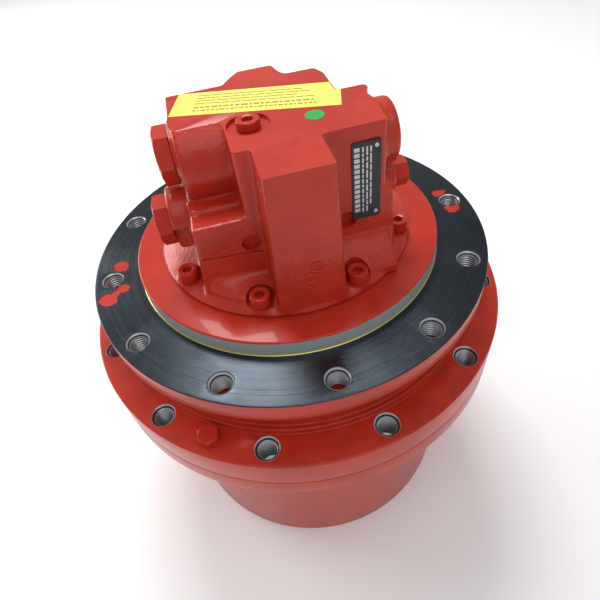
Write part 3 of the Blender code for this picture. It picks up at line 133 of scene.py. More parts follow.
COVER_RING_LOW = lowest("cover_retaining_ring")
COVER_RING_HIGH = highest("cover_retaining_ring")
COVER_RING_GAP = math.radians(30)

# Teeth of the ring gear, cut as the CAD has them so that they stay in mesh
MODULE = 0.0035
RING_TEETH = 60
PRESSURE_ANGLE = math.radians(25)
FLANK_GAP = 0.00012
RING_TIP_R = MODULE * (RING_TEETH / 2 - 1)
RING_ROOT_R = MODULE * (RING_TEETH / 2 + 1.25)
TEETH_TOP = lowest("planet_carrier_2") - SEAT

# Bolt circles and threads of the two flanges
FRAME_BOLTS_R = 0.1320
SPROCKET_BOLTS_R = 0.1480
SPROCKET_BOLTS_TURN = math.radians(10.3)
FLANGE_BOLT_TURN = SPROCKET_BOLTS_TURN - math.radians(135)
BOLT_COUNT = 12
THREAD_MINOR_R = 0.0060
THREAD_MAJOR_R = 0.0071
THREAD_PITCH = 0.0020
HOLE_CHAMFER = 0.0014
CLEARANCE_R = 0.0074
SCREW_HOLE_R = 0.0047
SCREW_END_GAP = 0.0020
MOTOR_SCREW_L = 0.0300
FLANGE_BOLT_L = 0.0340
CARRIER_SCREW_CIRCLE_R = 0.0675
CARRIER_SCREW_DEPTH = 0.0180

# Socket screws as (head radius, head height, shank radius, length, key radius, key depth)
COVER_PLUG = (0.0135, 0.0028, COVER_PLUG_R, 0.0090, 0.0058, 0.0022)
MOTOR_SCREW = (0.0065, 0.0080, 0.0040, MOTOR_SCREW_L, 0.0034, 0.0040)
TOP_PLUG = (0.0068, 0.0050, 0.0045, 0.0080, 0.0036, 0.0025)
# Hexagon bolts as (corner radius, head height, shank radius, length)
FLANGE_BOLT = (0.0075, 0.0058, 0.0040, FLANGE_BOLT_L)
HEXAGON_FLAT_SHARE = 0.96

# Motor casting
MOTOR_LOW = PILOT_TOP + SEAT
MOTOR_SPIGOT_LOW = lowest("motor_housing")
MOTOR_FLANGE_R = 0.0905
MOTOR_FLANGE_EDGE = MOTOR_LOW + 0.0024
MOTOR_CONE_FOOT = (0.0810, MOTOR_LOW + 0.0065)
MOTOR_CONE_TOP = (0.0580, MOTOR_LOW + 0.0147)
MOTOR_CONE_FILLET = 0.0040
BLOCK_TOP = FRAME_FACE + 0.1100
CASING_TOP = FRAME_FACE + 0.0680
CASING_HALF_W = 0.0600
CASING_HALF_DEPTH = 0.0580
CASING_DRAFT = 0.0035
COLUMN_SPREAD = 0.0028
FRONT_DRAFT = 0.0004
BLOCK_FRONT = -0.0585
BLOCK_FOOT = FRAME_FACE + 0.0300
COLUMN_FRONT = -0.0878
COLUMN_X = (-0.0187, 0.0183)
INSIDE = -0.0485
CAST_LIFT = 0.0008
WEDGE_X = (0.0170, 0.0594)
WEDGE_FRONT = -0.0740
WEDGE_LIP = FRAME_FACE + 0.0200
WEDGE_TOP = FRAME_FACE + 0.0365
# Plan of the upper block, with the steps at its right side and back
BLOCK_OUTLINE = (
    (-0.0580, 0.0260),
    (-0.0580, -0.0090),
    (-0.0290, -0.0090),
    (-0.0285, BLOCK_FRONT),
    (0.0195, BLOCK_FRONT),
    (0.0555, BLOCK_FRONT + 0.0010),
    (0.0555, -0.0205),
    (0.0585, -0.0180),
    (0.0585, -0.0125),
    (0.0405, -0.0125),
    (0.0405, 0.0150),
    (0.0370, 0.0245),
    (0.0180, 0.0245),
    (0.0150, 0.0300),
    (0.0125, 0.0425),
    (-0.0100, 0.0425),
    (-0.0170, 0.0340),
    (-0.0220, 0.0260),
)
SHELF_PAD_X = (-0.0600, -0.0300)
SHELF_PAD_Y = (-0.0415, -0.0050)
SHELF_PAD_H = 0.0018
RAMP_X = (-0.0600, -0.0187)
RAMP_R = 0.0845
RAMP_LOW = FRAME_FACE + 0.0215
RAMP_TOP = (FRAME_FACE + 0.0290, FRAME_FACE + 0.0268)
RAMP_STEPS = 12
MOTOR_BORE_R = 0.0160
SCREW_CIRCLE_R = 0.0820
SCREW_ANGLES = (22.4, 62.6, 117.4, 157.6, 202.4, 242.6, 297.4, 337.6)
SCREW_SEAT = MOTOR_LOW + 0.0050
PAD_R = 0.0082
POCKET_R = 0.0092
POCKET_H = 0.0400
CAST_GRAIN = 0.0012
SOFTENED = 8

# Bosses along X, each at (face x, centre y, centre height), with their radii and rounds
LEFT_UPPER_LAND = (-0.0603, -0.0090, FRAME_FACE + 0.0906)
LEFT_LOWER_BOSS = (-0.0729, -0.0180, FRAME_FACE + 0.0530)
RIGHT_UPPER_BOSS = (0.0660, -0.0350, FRAME_FACE + 0.0910)
RIGHT_LOWER_BOSS = (0.0680, -0.0330, FRAME_FACE + 0.0600)
BOSS_DEPTH = 0.0290
BOSSES = (
    ((-0.0580, -0.0090, FRAME_FACE + 0.0860), 0.0270, 0.0020),
    (LEFT_UPPER_LAND, 0.0185, SMALL_EDGE),
    (LEFT_LOWER_BOSS, 0.0200, 0.0020),
    (RIGHT_UPPER_BOSS, 0.0190, 0.0020),
    (RIGHT_LOWER_BOSS, 0.0125, 0.0015),
)
OPEN_PORT = (0.0095, 0.0160)
PLUG_SHANK_R = 0.0065
PLUG_SHANK_L = 0.0120
PLUG_HEAD_T = 0.0092
# Port plugs as (node, face, corner radius)
PORT_PLUGS = (
    ("port_plug_upper", LEFT_UPPER_LAND, 0.0177),
    ("port_plug_lower", LEFT_LOWER_BOSS, 0.0160),
    ("port_plug_right", RIGHT_LOWER_BOSS, 0.0092),
)

# What is stuck on the casting or cast into it
SPOT = (-0.0151, -0.0311)
SPOT_R = 0.0125
SPOT_DEPTH = 0.0020
SPOT_HOLE = (0.0048, 0.0090)
SIDE_HOLES_X = (-0.0282, 0.0312)
SIDE_HOLE_Z = FRAME_FACE + 0.0507
SIDE_HOLE = (0.0060, -0.0020, 0.0045)
LABEL_CORNERS = (
    (-0.0575, -0.0025),
    (0.0379, -0.0322),
    (0.0432, -0.0134),
    (0.0398, -0.0120),
    (0.0398, -0.0006),
    (-0.0492, 0.0255),
)
LABEL_PRINT = (0.0130, 0.0860)
LABEL_GAP = 0.0008
DOT_CENTRE = (0.0210, -0.0372)
DOT_R = 0.0055
PLATE_X = (0.0346, 0.0516)
PLATE_FACE = -0.0586
PLATE_T = 0.0014
PLATE_MARGIN = 0.0030
PLATE_GAP = 0.0009
PLATE_CORNER = 0.0012
PLATE_RIVET = (0.0013, 0, 0.0008)
PLATE_RIVET_INSET = (0.0032, 0.0036, 0.0028)
PLATE_AXES = ((0, 1, 0, 0), (0, 0, -1, 0), (-1, 0, 0, 0), (0, 0, 0, 1))
PLATE_Z = (FRAME_FACE + 0.0502, FRAME_FACE + 0.1005)
FOIL_T = 0.0002
STROKE_T = 0.00008
# Rows of strokes as (distance from the edge, width, lengths taken in turn)
LABEL_ROWS = (
    (0.0052, 0.0016, (0.0022, 0.0013, 0.0030, 0.0017)),
    (0.0092, 0.0019, (0.0034, 0.0020, 0.0028, 0.0042, 0.0016)),
    (0.0140, 0.0010, (0.0060, 0.0090, 0.0045)),
    (0.0176, 0.0010, (0.0120, 0.0070)),
    (0.0212, 0.0010, (0.0080, 0.0055, 0.0110)),
    (0.0248, 0.0010, (0.0140, 0.0060)),
)
PLATE_ROWS = (
    (0.0029, 0.0032, (0.0024,)),
    (0.0064, 0.0010, (0.0030, 0.0018)),
    (0.0088, 0.0010, (0.0052, 0.0026, 0.0040)),
    (0.0110, 0.0010, (0.0036, 0.0060)),
)
CAST_MARKS = ((0.0036, FRAME_FACE + 0.0474), (-0.0004, FRAME_FACE + 0.0402))
CAST_MARK_R = 0.0038
CAST_MARK_T = 0.0012
CAST_MARK_SUNK = 0.0020
CAST_MARK_ROUND = 0.0004
# The mould's parting line on the left of the casing's front: half sizes, middle and slope
GROOVE = (0.0203, 0.0006, 0.0005)
GROOVE_PLACE = (-0.0395, -CASING_HALF_DEPTH - 0.0001, FRAME_FACE + 0.0449)
GROOVE_SLOPE = math.radians(5.2)


# Shapes

def filleted(corners, steps=4):
    """An outline through (radius, height, fillet) corners, with a round of that size at each."""
    outline = []
    for place, (across, up, fillet) in enumerate(corners):
        here = Vector((across, up))
        if fillet == 0:
            outline.append((across, up))
            continue
        before = (Vector(corners[place - 1][:2]) - here).normalized()
        after = (Vector(corners[(place + 1) % len(corners)][:2]) - here).normalized()
        half = before.angle(after) / 2
        start = here + before * fillet / math.tan(half)
        end = here + after * fillet / math.tan(half)
        centre = here + (before + after).normalized() * fillet / math.sin(half)
        for step in range(steps + 1):
            on_arc = start.lerp(end, step / steps) - centre
            outline.append(tuple(centre + on_arc.normalized() * fillet))
    return outline


def spun(bm, parts, angle, steps):
    """Spin parts of a bmesh about Z, joined where they meet again after a full turn."""
    bmesh.ops.spin(
        bm,
        geom=parts,
        axis=(0, 0, 1),
        cent=(0, 0, 0),
        angle=angle,
        steps=steps,
        use_merge=angle == math.tau,
    )
    bmesh.ops.remove_doubles(bm, verts=bm.verts, dist=MERGE)
    bmesh.ops.dissolve_degenerate(bm, edges=bm.edges, dist=MERGE / 10)
    bmesh.ops.recalc_face_normals(bm, faces=bm.faces)
    return bm


def turned(outline, segments=FINE):
    """Turn a closed (radius, height) outline about Z."""
    bm = bmesh.new()
    points = [bm.verts.new((across, 0, up)) for across, up in outline]
    edges = []
    for first, second in zip(points, points[1:] + points[:1]):
        if first.co.x > 0 or second.co.x > 0:
            edges.append(bm.edges.new((first, second)))
    return spun(bm, points + edges, math.tau, segments)


def rod(radius, low, high, segments=HOLE_SIDES, edge=0.0):
    """A round rod along Z, its rims rounded by edge."""
    corners = [(0, low, 0), (radius, low, edge), (radius, high, edge), (0, high, 0)]
    return turned(filleted(corners, 3), segments)


def prism(corner_r, low, high, sides=6):
    """An upright prism with a regular base."""
    bm = bmesh.new()
    bmesh.ops.create_cone(
        bm,
        cap_ends=True,
        segments=sides,
        radius1=corner_r,
        radius2=corner_r,
        depth=high - low,
        matrix=Matrix.Translation((0, 0, (low + high) / 2)),
    )
    return bm


def plate(outline, low, high):
    """Raise a flat outline from low to high."""
    bm = bmesh.new()
    face = bm.faces.new([bm.verts.new((x, y, low)) for x, y in outline])
    raised = bmesh.ops.extrude_face_region(bm, geom=[face])["geom"]
    top = [part for part in raised if isinstance(part, bmesh.types.BMVert)]
    bmesh.ops.translate(bm, verts=top, vec=(0, 0, high - low))
    bmesh.ops.recalc_face_normals(bm, faces=bm.faces)
    return bm


def box(x, y, z, foot_x=0.0, foot_y=0.0):
    """A box between (low, high) pairs, wider at its foot."""
    bm = bmesh.new()
    bmesh.ops.create_cube(bm, size=1.0)
    for corner in bm.verts:
        wider = foot_x if corner.co.z < 0 else 0.0
        deeper = foot_y if corner.co.z < 0 else 0.0
        corner.co.x = x[0] - wider if corner.co.x < 0 else x[1] + wider
        corner.co.y = y[0] - deeper if corner.co.y < 0 else y[1] + deeper
        corner.co.z = z[0] if corner.co.z < 0 else z[1]
    return bm


def moved(bm, matrix):
    """Move a shape."""
    bmesh.ops.transform(bm, verts=bm.verts, matrix=matrix)
    return bm


def across_x(place):
    """Lays a shape that was built along +Z into the block from a (face x, y, height) place."""
    side = 1 if place[0] < 0 else -1
    return Matrix.Translation(place) @ Matrix.Rotation(side * math.pi / 2, 4, "Y")


def into_front(x, y, z):
    """Turns a shape that was built along +Z so that it runs into the front of the block."""
    return Matrix.Translation((x, y, z)) @ Matrix.Rotation(-math.pi / 2, 4, "X")


def gathered(shapes):
    """Put several shapes into one bmesh."""
    whole = bmesh.new()
    for shape in shapes:
        mesh = bpy.data.meshes.new("shape")
        shape.to_mesh(mesh)
        shape.free()
        whole.from_mesh(mesh)
        bpy.data.meshes.remove(mesh)
    return whole


def at_place(place):
    """The matrix of an (x, y, z, turn) place."""
    x, y, z, turn = place
    return Matrix.Translation((x, y, z)) @ Matrix.Rotation(turn, 4, "Z")


def repeated(make_shape, places):
    """One shape at several (x, y, z, turn) places."""
    return gathered([moved(make_shape(), at_place(place)) for place in places])


def at_angles(radius, angles, height):
    """Places round a circle, each turned by its own angle."""
    return [(radius * math.cos(angle), radius * math.sin(angle), height, angle) for angle in angles]


def ring_of(radius, count, turn=0.0, height=0.0):
    """Places evenly round a circle."""
    return at_angles(radius, [turn + math.tau * step / count for step in range(count)], height)


def screw_places(height=0.0):
    """Places of the motor screws, whose angles are counted from the front."""
    angles = [math.radians(from_front - 90) for from_front in SCREW_ANGLES]
    return at_angles(SCREW_CIRCLE_R, angles, height)


def in_scene(name, data):
    """A new object of a mesh, light or camera, in the scene."""
    thing = bpy.data.objects.new(name, data)
    bpy.context.scene.collection.objects.link(thing)
    return thing


def shade(mesh, smooth):
    """Shade a mesh smooth where its faces meet at less than an angle."""
    mesh.shade_smooth()
    mesh.set_sharp_from_angle(angle=math.radians(smooth))


def add_piece(name, bm, material):
    """Make an object of a bmesh."""
    mesh = bpy.data.meshes.new(name)
    bm.to_mesh(mesh)
    bm.free()
    shade(mesh, SMOOTH_ANGLE)
    mesh.materials.append(material)
    return in_scene(name, mesh)


def settle(piece, smooth):
    """Apply a piece's modifiers to its mesh."""
    graph = bpy.context.evaluated_depsgraph_get()
    shape = piece.evaluated_get(graph)
    finished = bpy.data.meshes.new_from_object(shape, preserve_all_data_layers=True, depsgraph=graph)
    piece.modifiers.clear()
    piece.data = finished
    shade(finished, smooth)


def carved(piece, tool, material, operation="DIFFERENCE", smooth=SMOOTH_ANGLE):
    """Cut a tool shape out of a piece, the cut faces in the tool's own material."""
    cutter = add_piece(piece.name + "_tool", tool, material)
    modifier = piece.modifiers.new("Carve", "BOOLEAN")
    modifier.operation = operation
    modifier.solver = "EXACT"
    modifier.material_mode = "TRANSFER"
    modifier.object = cutter
    settle(piece, smooth)
    bpy.data.objects.remove(cutter, do_unlink=True)


def stand_in(piece, body, node):
    """Let a finished piece ride on a body and stand for one of its CAD nodes."""
    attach(piece, body)
    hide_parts(node)


def numbered(stem, count):
    """The names of nodes that differ by their number."""
    return [f"{stem}_{number + 1}" for number in range(count)]


def spread_over(shape, nodes, places, body):
    """Copies of one finished shape, each at the place of its own CAD node."""
    for node, place in zip(nodes, places):
        mesh = shape.data.copy()
        mesh.transform(place)
        stand_in(in_scene("finished_" + node, mesh), body, node)
    bpy.data.objects.remove(shape, do_unlink=True)


def socket_screw(name, sizes, material):
    """A socket head screw, its seat at height 0, its shank down and its hexagon socket up."""
    head_r, head_h, shank_r, length, key_r, key_depth = sizes
    edge = min(SMALL_EDGE, head_h / 4)
    screw = add_piece(name, turned(filleted([
        (0, -length, 0),
        (shank_r, -length, SMALL_EDGE),
        (shank_r, 0, 0),
        (head_r, 0, SEAT),
        (head_r, head_h, edge),
        (key_r + SMALL_EDGE, head_h, 0),
        (key_r, head_h - SMALL_EDGE / 2, 0),
        (0, head_h - SMALL_EDGE / 2, 0),
    ]), SCREW_SIDES), material)
    carved(screw, prism(key_r, head_h - key_depth, head_h + REACH), material)
    return screw


def hexagon_bolt(name, sizes, material):
    """A bolt or plug with a hexagon head whose corners are turned away, its seat at height 0."""
    head_r, head_h, shank_r, length = sizes
    flat_r = head_r * math.cos(math.pi / 6)
    taper = (head_r - flat_r) * math.tan(math.radians(30))
    bolt = add_piece(name, prism(head_r, 0, head_h + REACH), material)
    lens = turned(filleted([
        (0, -REACH, 0),
        (head_r + SEAT, -REACH, 0),
        (head_r + SEAT, head_h - taper, 0),
        (flat_r * HEXAGON_FLAT_SHARE, head_h, SEAT),
        (0, head_h, 0),
    ]), HEAD_SIDES)
    carved(bolt, lens, material, "INTERSECT")
    carved(bolt, rod(shank_r, -length, head_h / 2, HOLE_SIDES, SMALL_EDGE), material, "UNION")
    return bolt


def open_ring(inner_r, outer_r, low, high):
    """A flat ring with a gap centred on +X."""
    bm = bmesh.new()
    corners = ((inner_r, low), (outer_r, low), (outer_r, high), (inner_r, high))
    section = bm.faces.new([bm.verts.new((across, 0, up)) for across, up in corners])
    bmesh.ops.rotate(bm, verts=bm.verts, matrix=Matrix.Rotation(COVER_RING_GAP / 2, 3, "Z"))
    return spun(bm, [section, *section.edges, *section.verts], math.tau - COVER_RING_GAP, FINE)


def tooth_spaces():
    """Outline of the cutter for the ring gear: involute spaces between a tip and a root circle."""
    pitch = MODULE * RING_TEETH / 2
    base = pitch * math.cos(PRESSURE_ANGLE)
    involute = math.tan(PRESSURE_ANGLE) - PRESSURE_ANGLE
    middle = math.pi / (2 * RING_TEETH) + FLANK_GAP / pitch + involute
    halves = []
    for radius in (RING_TIP_R, RING_ROOT_R):
        slope = math.acos(base / radius)
        halves.append((radius, middle - math.tan(slope) + slope))
    outline = []
    for space in range(RING_TEETH):
        centre = math.tau * space / RING_TEETH
        flanks = [(radius, centre - half) for radius, half in halves]
        flanks += [(radius, centre + half) for radius, half in reversed(halves)]
        outline += [(radius * math.cos(angle), radius * math.sin(angle)) for radius, angle in flanks]
    return outline


def threaded_hole(low, high):
    """The hollow of a threaded hole with a chamfered mouth, for cutting."""
    outline = [(0, low), (THREAD_MINOR_R, low)]
    height = THREAD_PITCH * math.ceil(low / THREAD_PITCH)
    while height < high - HOLE_CHAMFER - THREAD_PITCH:
        outline += [(THREAD_MINOR_R, height), (THREAD_MAJOR_R, height + THREAD_PITCH / 2)]
        height += THREAD_PITCH
    mouth_r = THREAD_MAJOR_R + HOLE_CHAMFER
    outline += [
        (THREAD_MINOR_R, height),
        (THREAD_MAJOR_R, high - HOLE_CHAMFER),
        (mouth_r, high),
        (mouth_r, high + REACH),
        (0, high + REACH),
    ]
    return turned(outline, HOLE_SIDES)


def through_hole(radius, low, high):
    """The hollow of a plain hole that passes both faces."""
    return rod(radius, low - REACH, high + REACH, HOLE_SIDES)


# Finishes

def feed(tree, socket, value):
    """Set a socket to a value, or link it to the socket that gives the value."""
    if isinstance(value, bpy.types.NodeSocket):
        tree.links.new(value, socket)
    else:
        socket.default_value = value


def give(tree, node, **inputs):
    """Feed a node's inputs, with _ for the spaces in their names."""
    for name, value in inputs.items():
        feed(tree, node.inputs[name.replace("_", " ")], value)


def group(name, inputs, outputs):
    """A shader node group with named sockets, and its input and output nodes."""
    tree = bpy.data.node_groups.new(name, "ShaderNodeTree")
    tree.interface.new_socket("Vector", in_out="INPUT", socket_type="NodeSocketVector")
    for socket, value in inputs:
        made = tree.interface.new_socket(socket, in_out="INPUT", socket_type="NodeSocketFloat")
        made.default_value = value
    for socket in outputs:
        tree.interface.new_socket(socket, in_out="OUTPUT", socket_type="NodeSocketFloat")
    return tree, tree.nodes.new("NodeGroupInput").outputs, tree.nodes.new("NodeGroupOutput")


def noise(tree, vector, scale, detail=3.0, roughness=0.5):
    """A noise texture's value, with scale in spots per metre."""
    node = tree.nodes.new("ShaderNodeTexNoise")
    give(tree, node, Vector=vector, Scale=scale, Detail=detail, Roughness=roughness)
    return node.outputs["Fac"]


def maths(tree, operation, first, second=0.0, clamp=False):
    """A math node on two values, each a number or a socket."""
    node = tree.nodes.new("ShaderNodeMath")
    node.operation = operation
    node.use_clamp = clamp
    feed(tree, node.inputs[0], first)
    feed(tree, node.inputs[1], second)
    return node.outputs[0]


def times(tree, first, second):
    """The product of two values."""
    return maths(tree, "MULTIPLY", first, second)


def plus(tree, first, second):
    """The sum of two values."""
    return maths(tree, "ADD", first, second)


def rest_of(tree, mask):
    """What a mask leaves."""
    return maths(tree, "SUBTRACT", 1.0, mask)


def ramp(tree, value, low, high, out_low=0.0, out_high=1.0):
    """A value's smooth step from one range to another."""
    node = tree.nodes.new("ShaderNodeMapRange")
    node.interpolation_type = "SMOOTHSTEP"
    give(tree, node, Value=value, From_Min=low, From_Max=high, To_Min=out_low, To_Max=out_high)
    return node.outputs["Result"]


def mixed(tree, mask, first, second):
    """Two colours, each a tuple or a socket, mixed by a mask."""
    node = tree.nodes.new("ShaderNodeMix")
    node.data_type = "RGBA"
    give(tree, node, Factor=mask)
    for socket, colour in ((node.inputs[6], first), (node.inputs[7], second)):
        feed(tree, socket, (*colour, 1.0) if isinstance(colour, tuple) else colour)
    return node.outputs[2]


def radius_of(tree, place):
    """Distance of a place from the drive axis, and its height."""
    parts = tree.nodes.new("ShaderNodeSeparateXYZ")
    give(tree, parts, Vector=place)
    across, along, rise = parts.outputs
    squares = plus(tree, times(tree, across, across), times(tree, along, along))
    return maths(tree, "SQRT", squares), rise


def rings(tree, radius, fineness, detail, roughness=0.5):
    """Uneven rings about the drive axis, so many to the metre."""
    line = tree.nodes.new("ShaderNodeCombineXYZ")
    give(tree, line, X=times(tree, radius, fineness))
    return noise(tree, line.outputs[0], 1.0, detail, roughness)


def make_cast_skin():
    """Cast iron under enamel: waves, grain and a fine orange peel as one height, and a slow tone."""
    tree, given, result = group("cast_skin", (("Waves", 1.0),), ("Height", "Tone"))
    place = given["Vector"]
    grain = times(tree, noise(tree, place, 420, 3.0, 0.6), 0.5)
    cast = times(tree, plus(tree, noise(tree, place, 90, 4.0, 0.6), grain), given["Waves"])
    peel = times(tree, noise(tree, place, 1100, 2.0), 0.10)
    give(tree, result, Height=plus(tree, cast, peel), Tone=noise(tree, place, 26, 5.0, 0.6))
    return tree


def make_turning_marks():
    """Fine rings left by a facing tool, as a height and a change of gloss."""
    tree, given, result = group("turning_marks", (("Fineness", 2500.0),), ("Height", "Gloss"))
    radius, _ = radius_of(tree, given["Vector"])
    fine = rings(tree, radius, given["Fineness"], 3.0, 0.7)
    give(tree, result, Height=fine, Gloss=rings(tree, radius, 260.0, 2.0))
    return tree


def make_smudges():
    """Patches of oil, dust and drag marks, as a mask from 0 to 1."""
    tree, given, result = group("smudges", (("Amount", 0.5),), ("Mask",))
    cloud = times(tree, noise(tree, given["Vector"], 22, 6.0, 0.65), 0.7)
    fine = times(tree, noise(tree, given["Vector"], 160, 3.0, 0.6), 0.3)
    patches = ramp(tree, plus(tree, cloud, fine), 0.48, 0.68)
    give(tree, result, Mask=maths(tree, "MULTIPLY", patches, given["Amount"], clamp=True))
    return tree


CAST_SKIN = make_cast_skin()
TURNING_MARKS = make_turning_marks()
SMUDGES = make_smudges()


def blank(name):
    """A new node material with its tree, shader and object coordinates."""
    material = bpy.data.materials.new(name)
    material.use_nodes = True
    tree = material.node_tree
    shader = tree.nodes["Principled BSDF"]
    place = tree.nodes.new("ShaderNodeTexCoord").outputs["Object"]
    return material, tree, shader, place


def use(tree, effect, place, **values):
    """Put an effect group into a material, fed with the place on the piece, and return its outputs."""
    node = tree.nodes.new("ShaderNodeGroup")
    node.node_tree = effect
    give(tree, node, Vector=place, **values)
    return node.outputs


def bump(tree, shader, height, distance):
    """Give a shader the relief of a height."""
    node = tree.nodes.new("ShaderNodeBump")
    give(tree, node, Distance=distance, Height=height)
    give(tree, shader, Normal=node.outputs["Normal"])


RED = (0.520, 0.032, 0.013)
DEEP_RED = (0.430, 0.025, 0.011)
DUSTY_RED = (0.560, 0.055, 0.030)
BORE_STEEL = (0.440, 0.450, 0.470)
# Painted shade for the roots of the threads, and a painted highlight for their crests
THREAD_ROOT_SHADE = (0.014, 0.014, 0.016)
LIT_THREAD_CREST = (0.520, 0.540, 0.560)
ENAMEL_GLOSS = 0.28
ENAMEL_SPECULAR = 0.22
ENAMEL_COAT = 0.16
CAST_COAT = 0.28
COAT_GLOSS = 0.14
ENAMEL_RELIEF = 0.00030


def red_tone(tree, skin):
    """Slow change of the enamel's red."""
    return mixed(tree, ramp(tree, skin["Tone"], 0.35, 0.65), DEEP_RED, RED)


def enamel(name, waves=0.10, coat=ENAMEL_COAT, relief=ENAMEL_RELIEF, bare_within=0.0):
    """Thick glossy red enamel over a casting or a turned face, and bare steel within a radius."""
    material, tree, shader, place = blank(name)
    skin = use(tree, CAST_SKIN, place, Waves=waves)
    dirt = use(tree, SMUDGES, place, Amount=0.30)["Mask"]
    colour = mixed(tree, dirt, red_tone(tree, skin), DUSTY_RED)
    if bare_within:
        radius, _ = radius_of(tree, place)
        bare = ramp(tree, radius, bare_within - SEAT, bare_within, 1.0, 0.0)
        colour = mixed(tree, bare, colour, BORE_STEEL)
        coat = times(tree, rest_of(tree, bare), coat)
        give(tree, shader, Metallic=bare)
    give(tree, shader, Base_Color=colour, Roughness=plus(tree, times(tree, dirt, 0.25), ENAMEL_GLOSS))
    give(tree, shader, Specular_IOR_Level=ENAMEL_SPECULAR, Coat_Weight=coat, Coat_Roughness=COAT_GLOSS)
    bump(tree, shader, skin["Height"], relief)
    return material


def steel(name, colour, roughness, marks, smudge=0.3, metallic=1.0):
    """Machined steel with its tool marks and a little grime."""
    material, tree, shader, place = blank(name)
    lines = use(tree, TURNING_MARKS, place, Fineness=2500.0)
    dirt = use(tree, SMUDGES, place, Amount=smudge)["Mask"]
    toned = mixed(tree, dirt, colour, tuple(channel * 0.55 for channel in colour))
    gloss = plus(tree, times(tree, lines["Gloss"], 0.2), roughness - 0.1)
    give(tree, shader, Base_Color=toned, Roughness=gloss, Metallic=metallic)
    bump(tree, shader, lines["Height"], marks)
    return material


def threads(name):
    """Steel of the threaded holes, with painted light and shade: a painted highlight on the crests, and
    painted shade in the roots half a pitch above each.
    """
    material, tree, shader, place = blank(name)
    _, rise = radius_of(tree, place)
    turn = maths(tree, "FRACT", maths(tree, "DIVIDE", rise, THREAD_PITCH))
    from_root = maths(tree, "ABSOLUTE", maths(tree, "SUBTRACT", turn, 0.5))
    # Painted shade in the roots and a painted highlight on the crests, banded by height
    tone = mixed(tree, ramp(tree, from_root, 0.10, 0.42), THREAD_ROOT_SHADE, LIT_THREAD_CREST)
    gloss = ramp(tree, from_root, 0.10, 0.42, 0.50, 0.28)
    give(tree, shader, Base_Color=tone, Roughness=gloss, Metallic=0.6)
    bump(tree, shader, noise(tree, place, 900, 2.0), 0.00003)
    return material


def plain(name, colour, roughness, grain, metallic=0.0):
    """Rubber, foil or plastic with a fine grain."""
    material, tree, shader, place = blank(name)
    fine = noise(tree, place, grain, 3.0)
    darker = tuple(channel * 0.88 for channel in colour)
    tone = mixed(tree, ramp(tree, fine, 0.3, 0.7), darker, colour)
    gloss = ramp(tree, fine, 0.2, 0.8, roughness - 0.05, roughness + 0.05)
    give(tree, shader, Base_Color=tone, Roughness=gloss, Metallic=metallic)
    bump(tree, shader, fine, 0.00004)
    return material


# Paint that ran onto the bare face, at (place, reach)
PAINT_SMEARS = (
    ((-0.1262, 0.0130, FRAME_FACE), 0.013),
    ((-0.1245, -0.0125, FRAME_FACE), 0.010),
    ((-0.1350, -0.0200, FRAME_FACE), 0.012),
    ((0.1290, -0.0100, FRAME_FACE), 0.012),
    ((0.1280, 0.0110, FRAME_FACE), 0.011),
)
BARE_STEEL = (0.044, 0.052, 0.062)
OILY_STEEL = (0.026, 0.031, 0.038)
# Bare steel of the pilot's side, lighter than the face as a painted reflection
PILOT_STEEL_AND_REFLECTION = (0.480, 0.530, 0.510)
GOLD_LINE = (0.620, 0.560, 0.200)
SMEAR_EDGE = (0.130, 0.040, 0.030)
# Where one finish fades into the next, as (from, to) heights and radii
BARE_LOW = (FRAME_FACE - 0.0007, FRAME_FACE - 0.0003)
BARE_HIGH = (PILOT_TOP - 0.0016, PILOT_TOP - 0.0008)
PILOT_SIDE = (FRAME_FACE + 0.0004, FRAME_FACE + 0.0008)
LINE_RADIUS = (PILOT_R + 0.0004, PILOT_R + 0.0010)
LINE_HEIGHT = (FRAME_FACE + 0.0010, FRAME_FACE + 0.0016)


def paint_smears(tree, place):
    """Torn patches of red paint, and the stained halo round them, as two masks."""
    smear = 0.0
    for centre, reach in PAINT_SMEARS:
        away = tree.nodes.new("ShaderNodeVectorMath")
        away.operation = "DISTANCE"
        feed(tree, away.inputs[0], place)
        feed(tree, away.inputs[1], centre)
        smear = plus(tree, smear, ramp(tree, away.outputs["Value"], 0.0, reach, 1.0, 0.0))
    torn = plus(tree, times(tree, smear, 0.60), noise(tree, place, 80, 5.0, 0.6))
    return ramp(tree, torn, 0.80, 0.86), times(tree, ramp(tree, torn, 0.62, 0.84), 0.75)


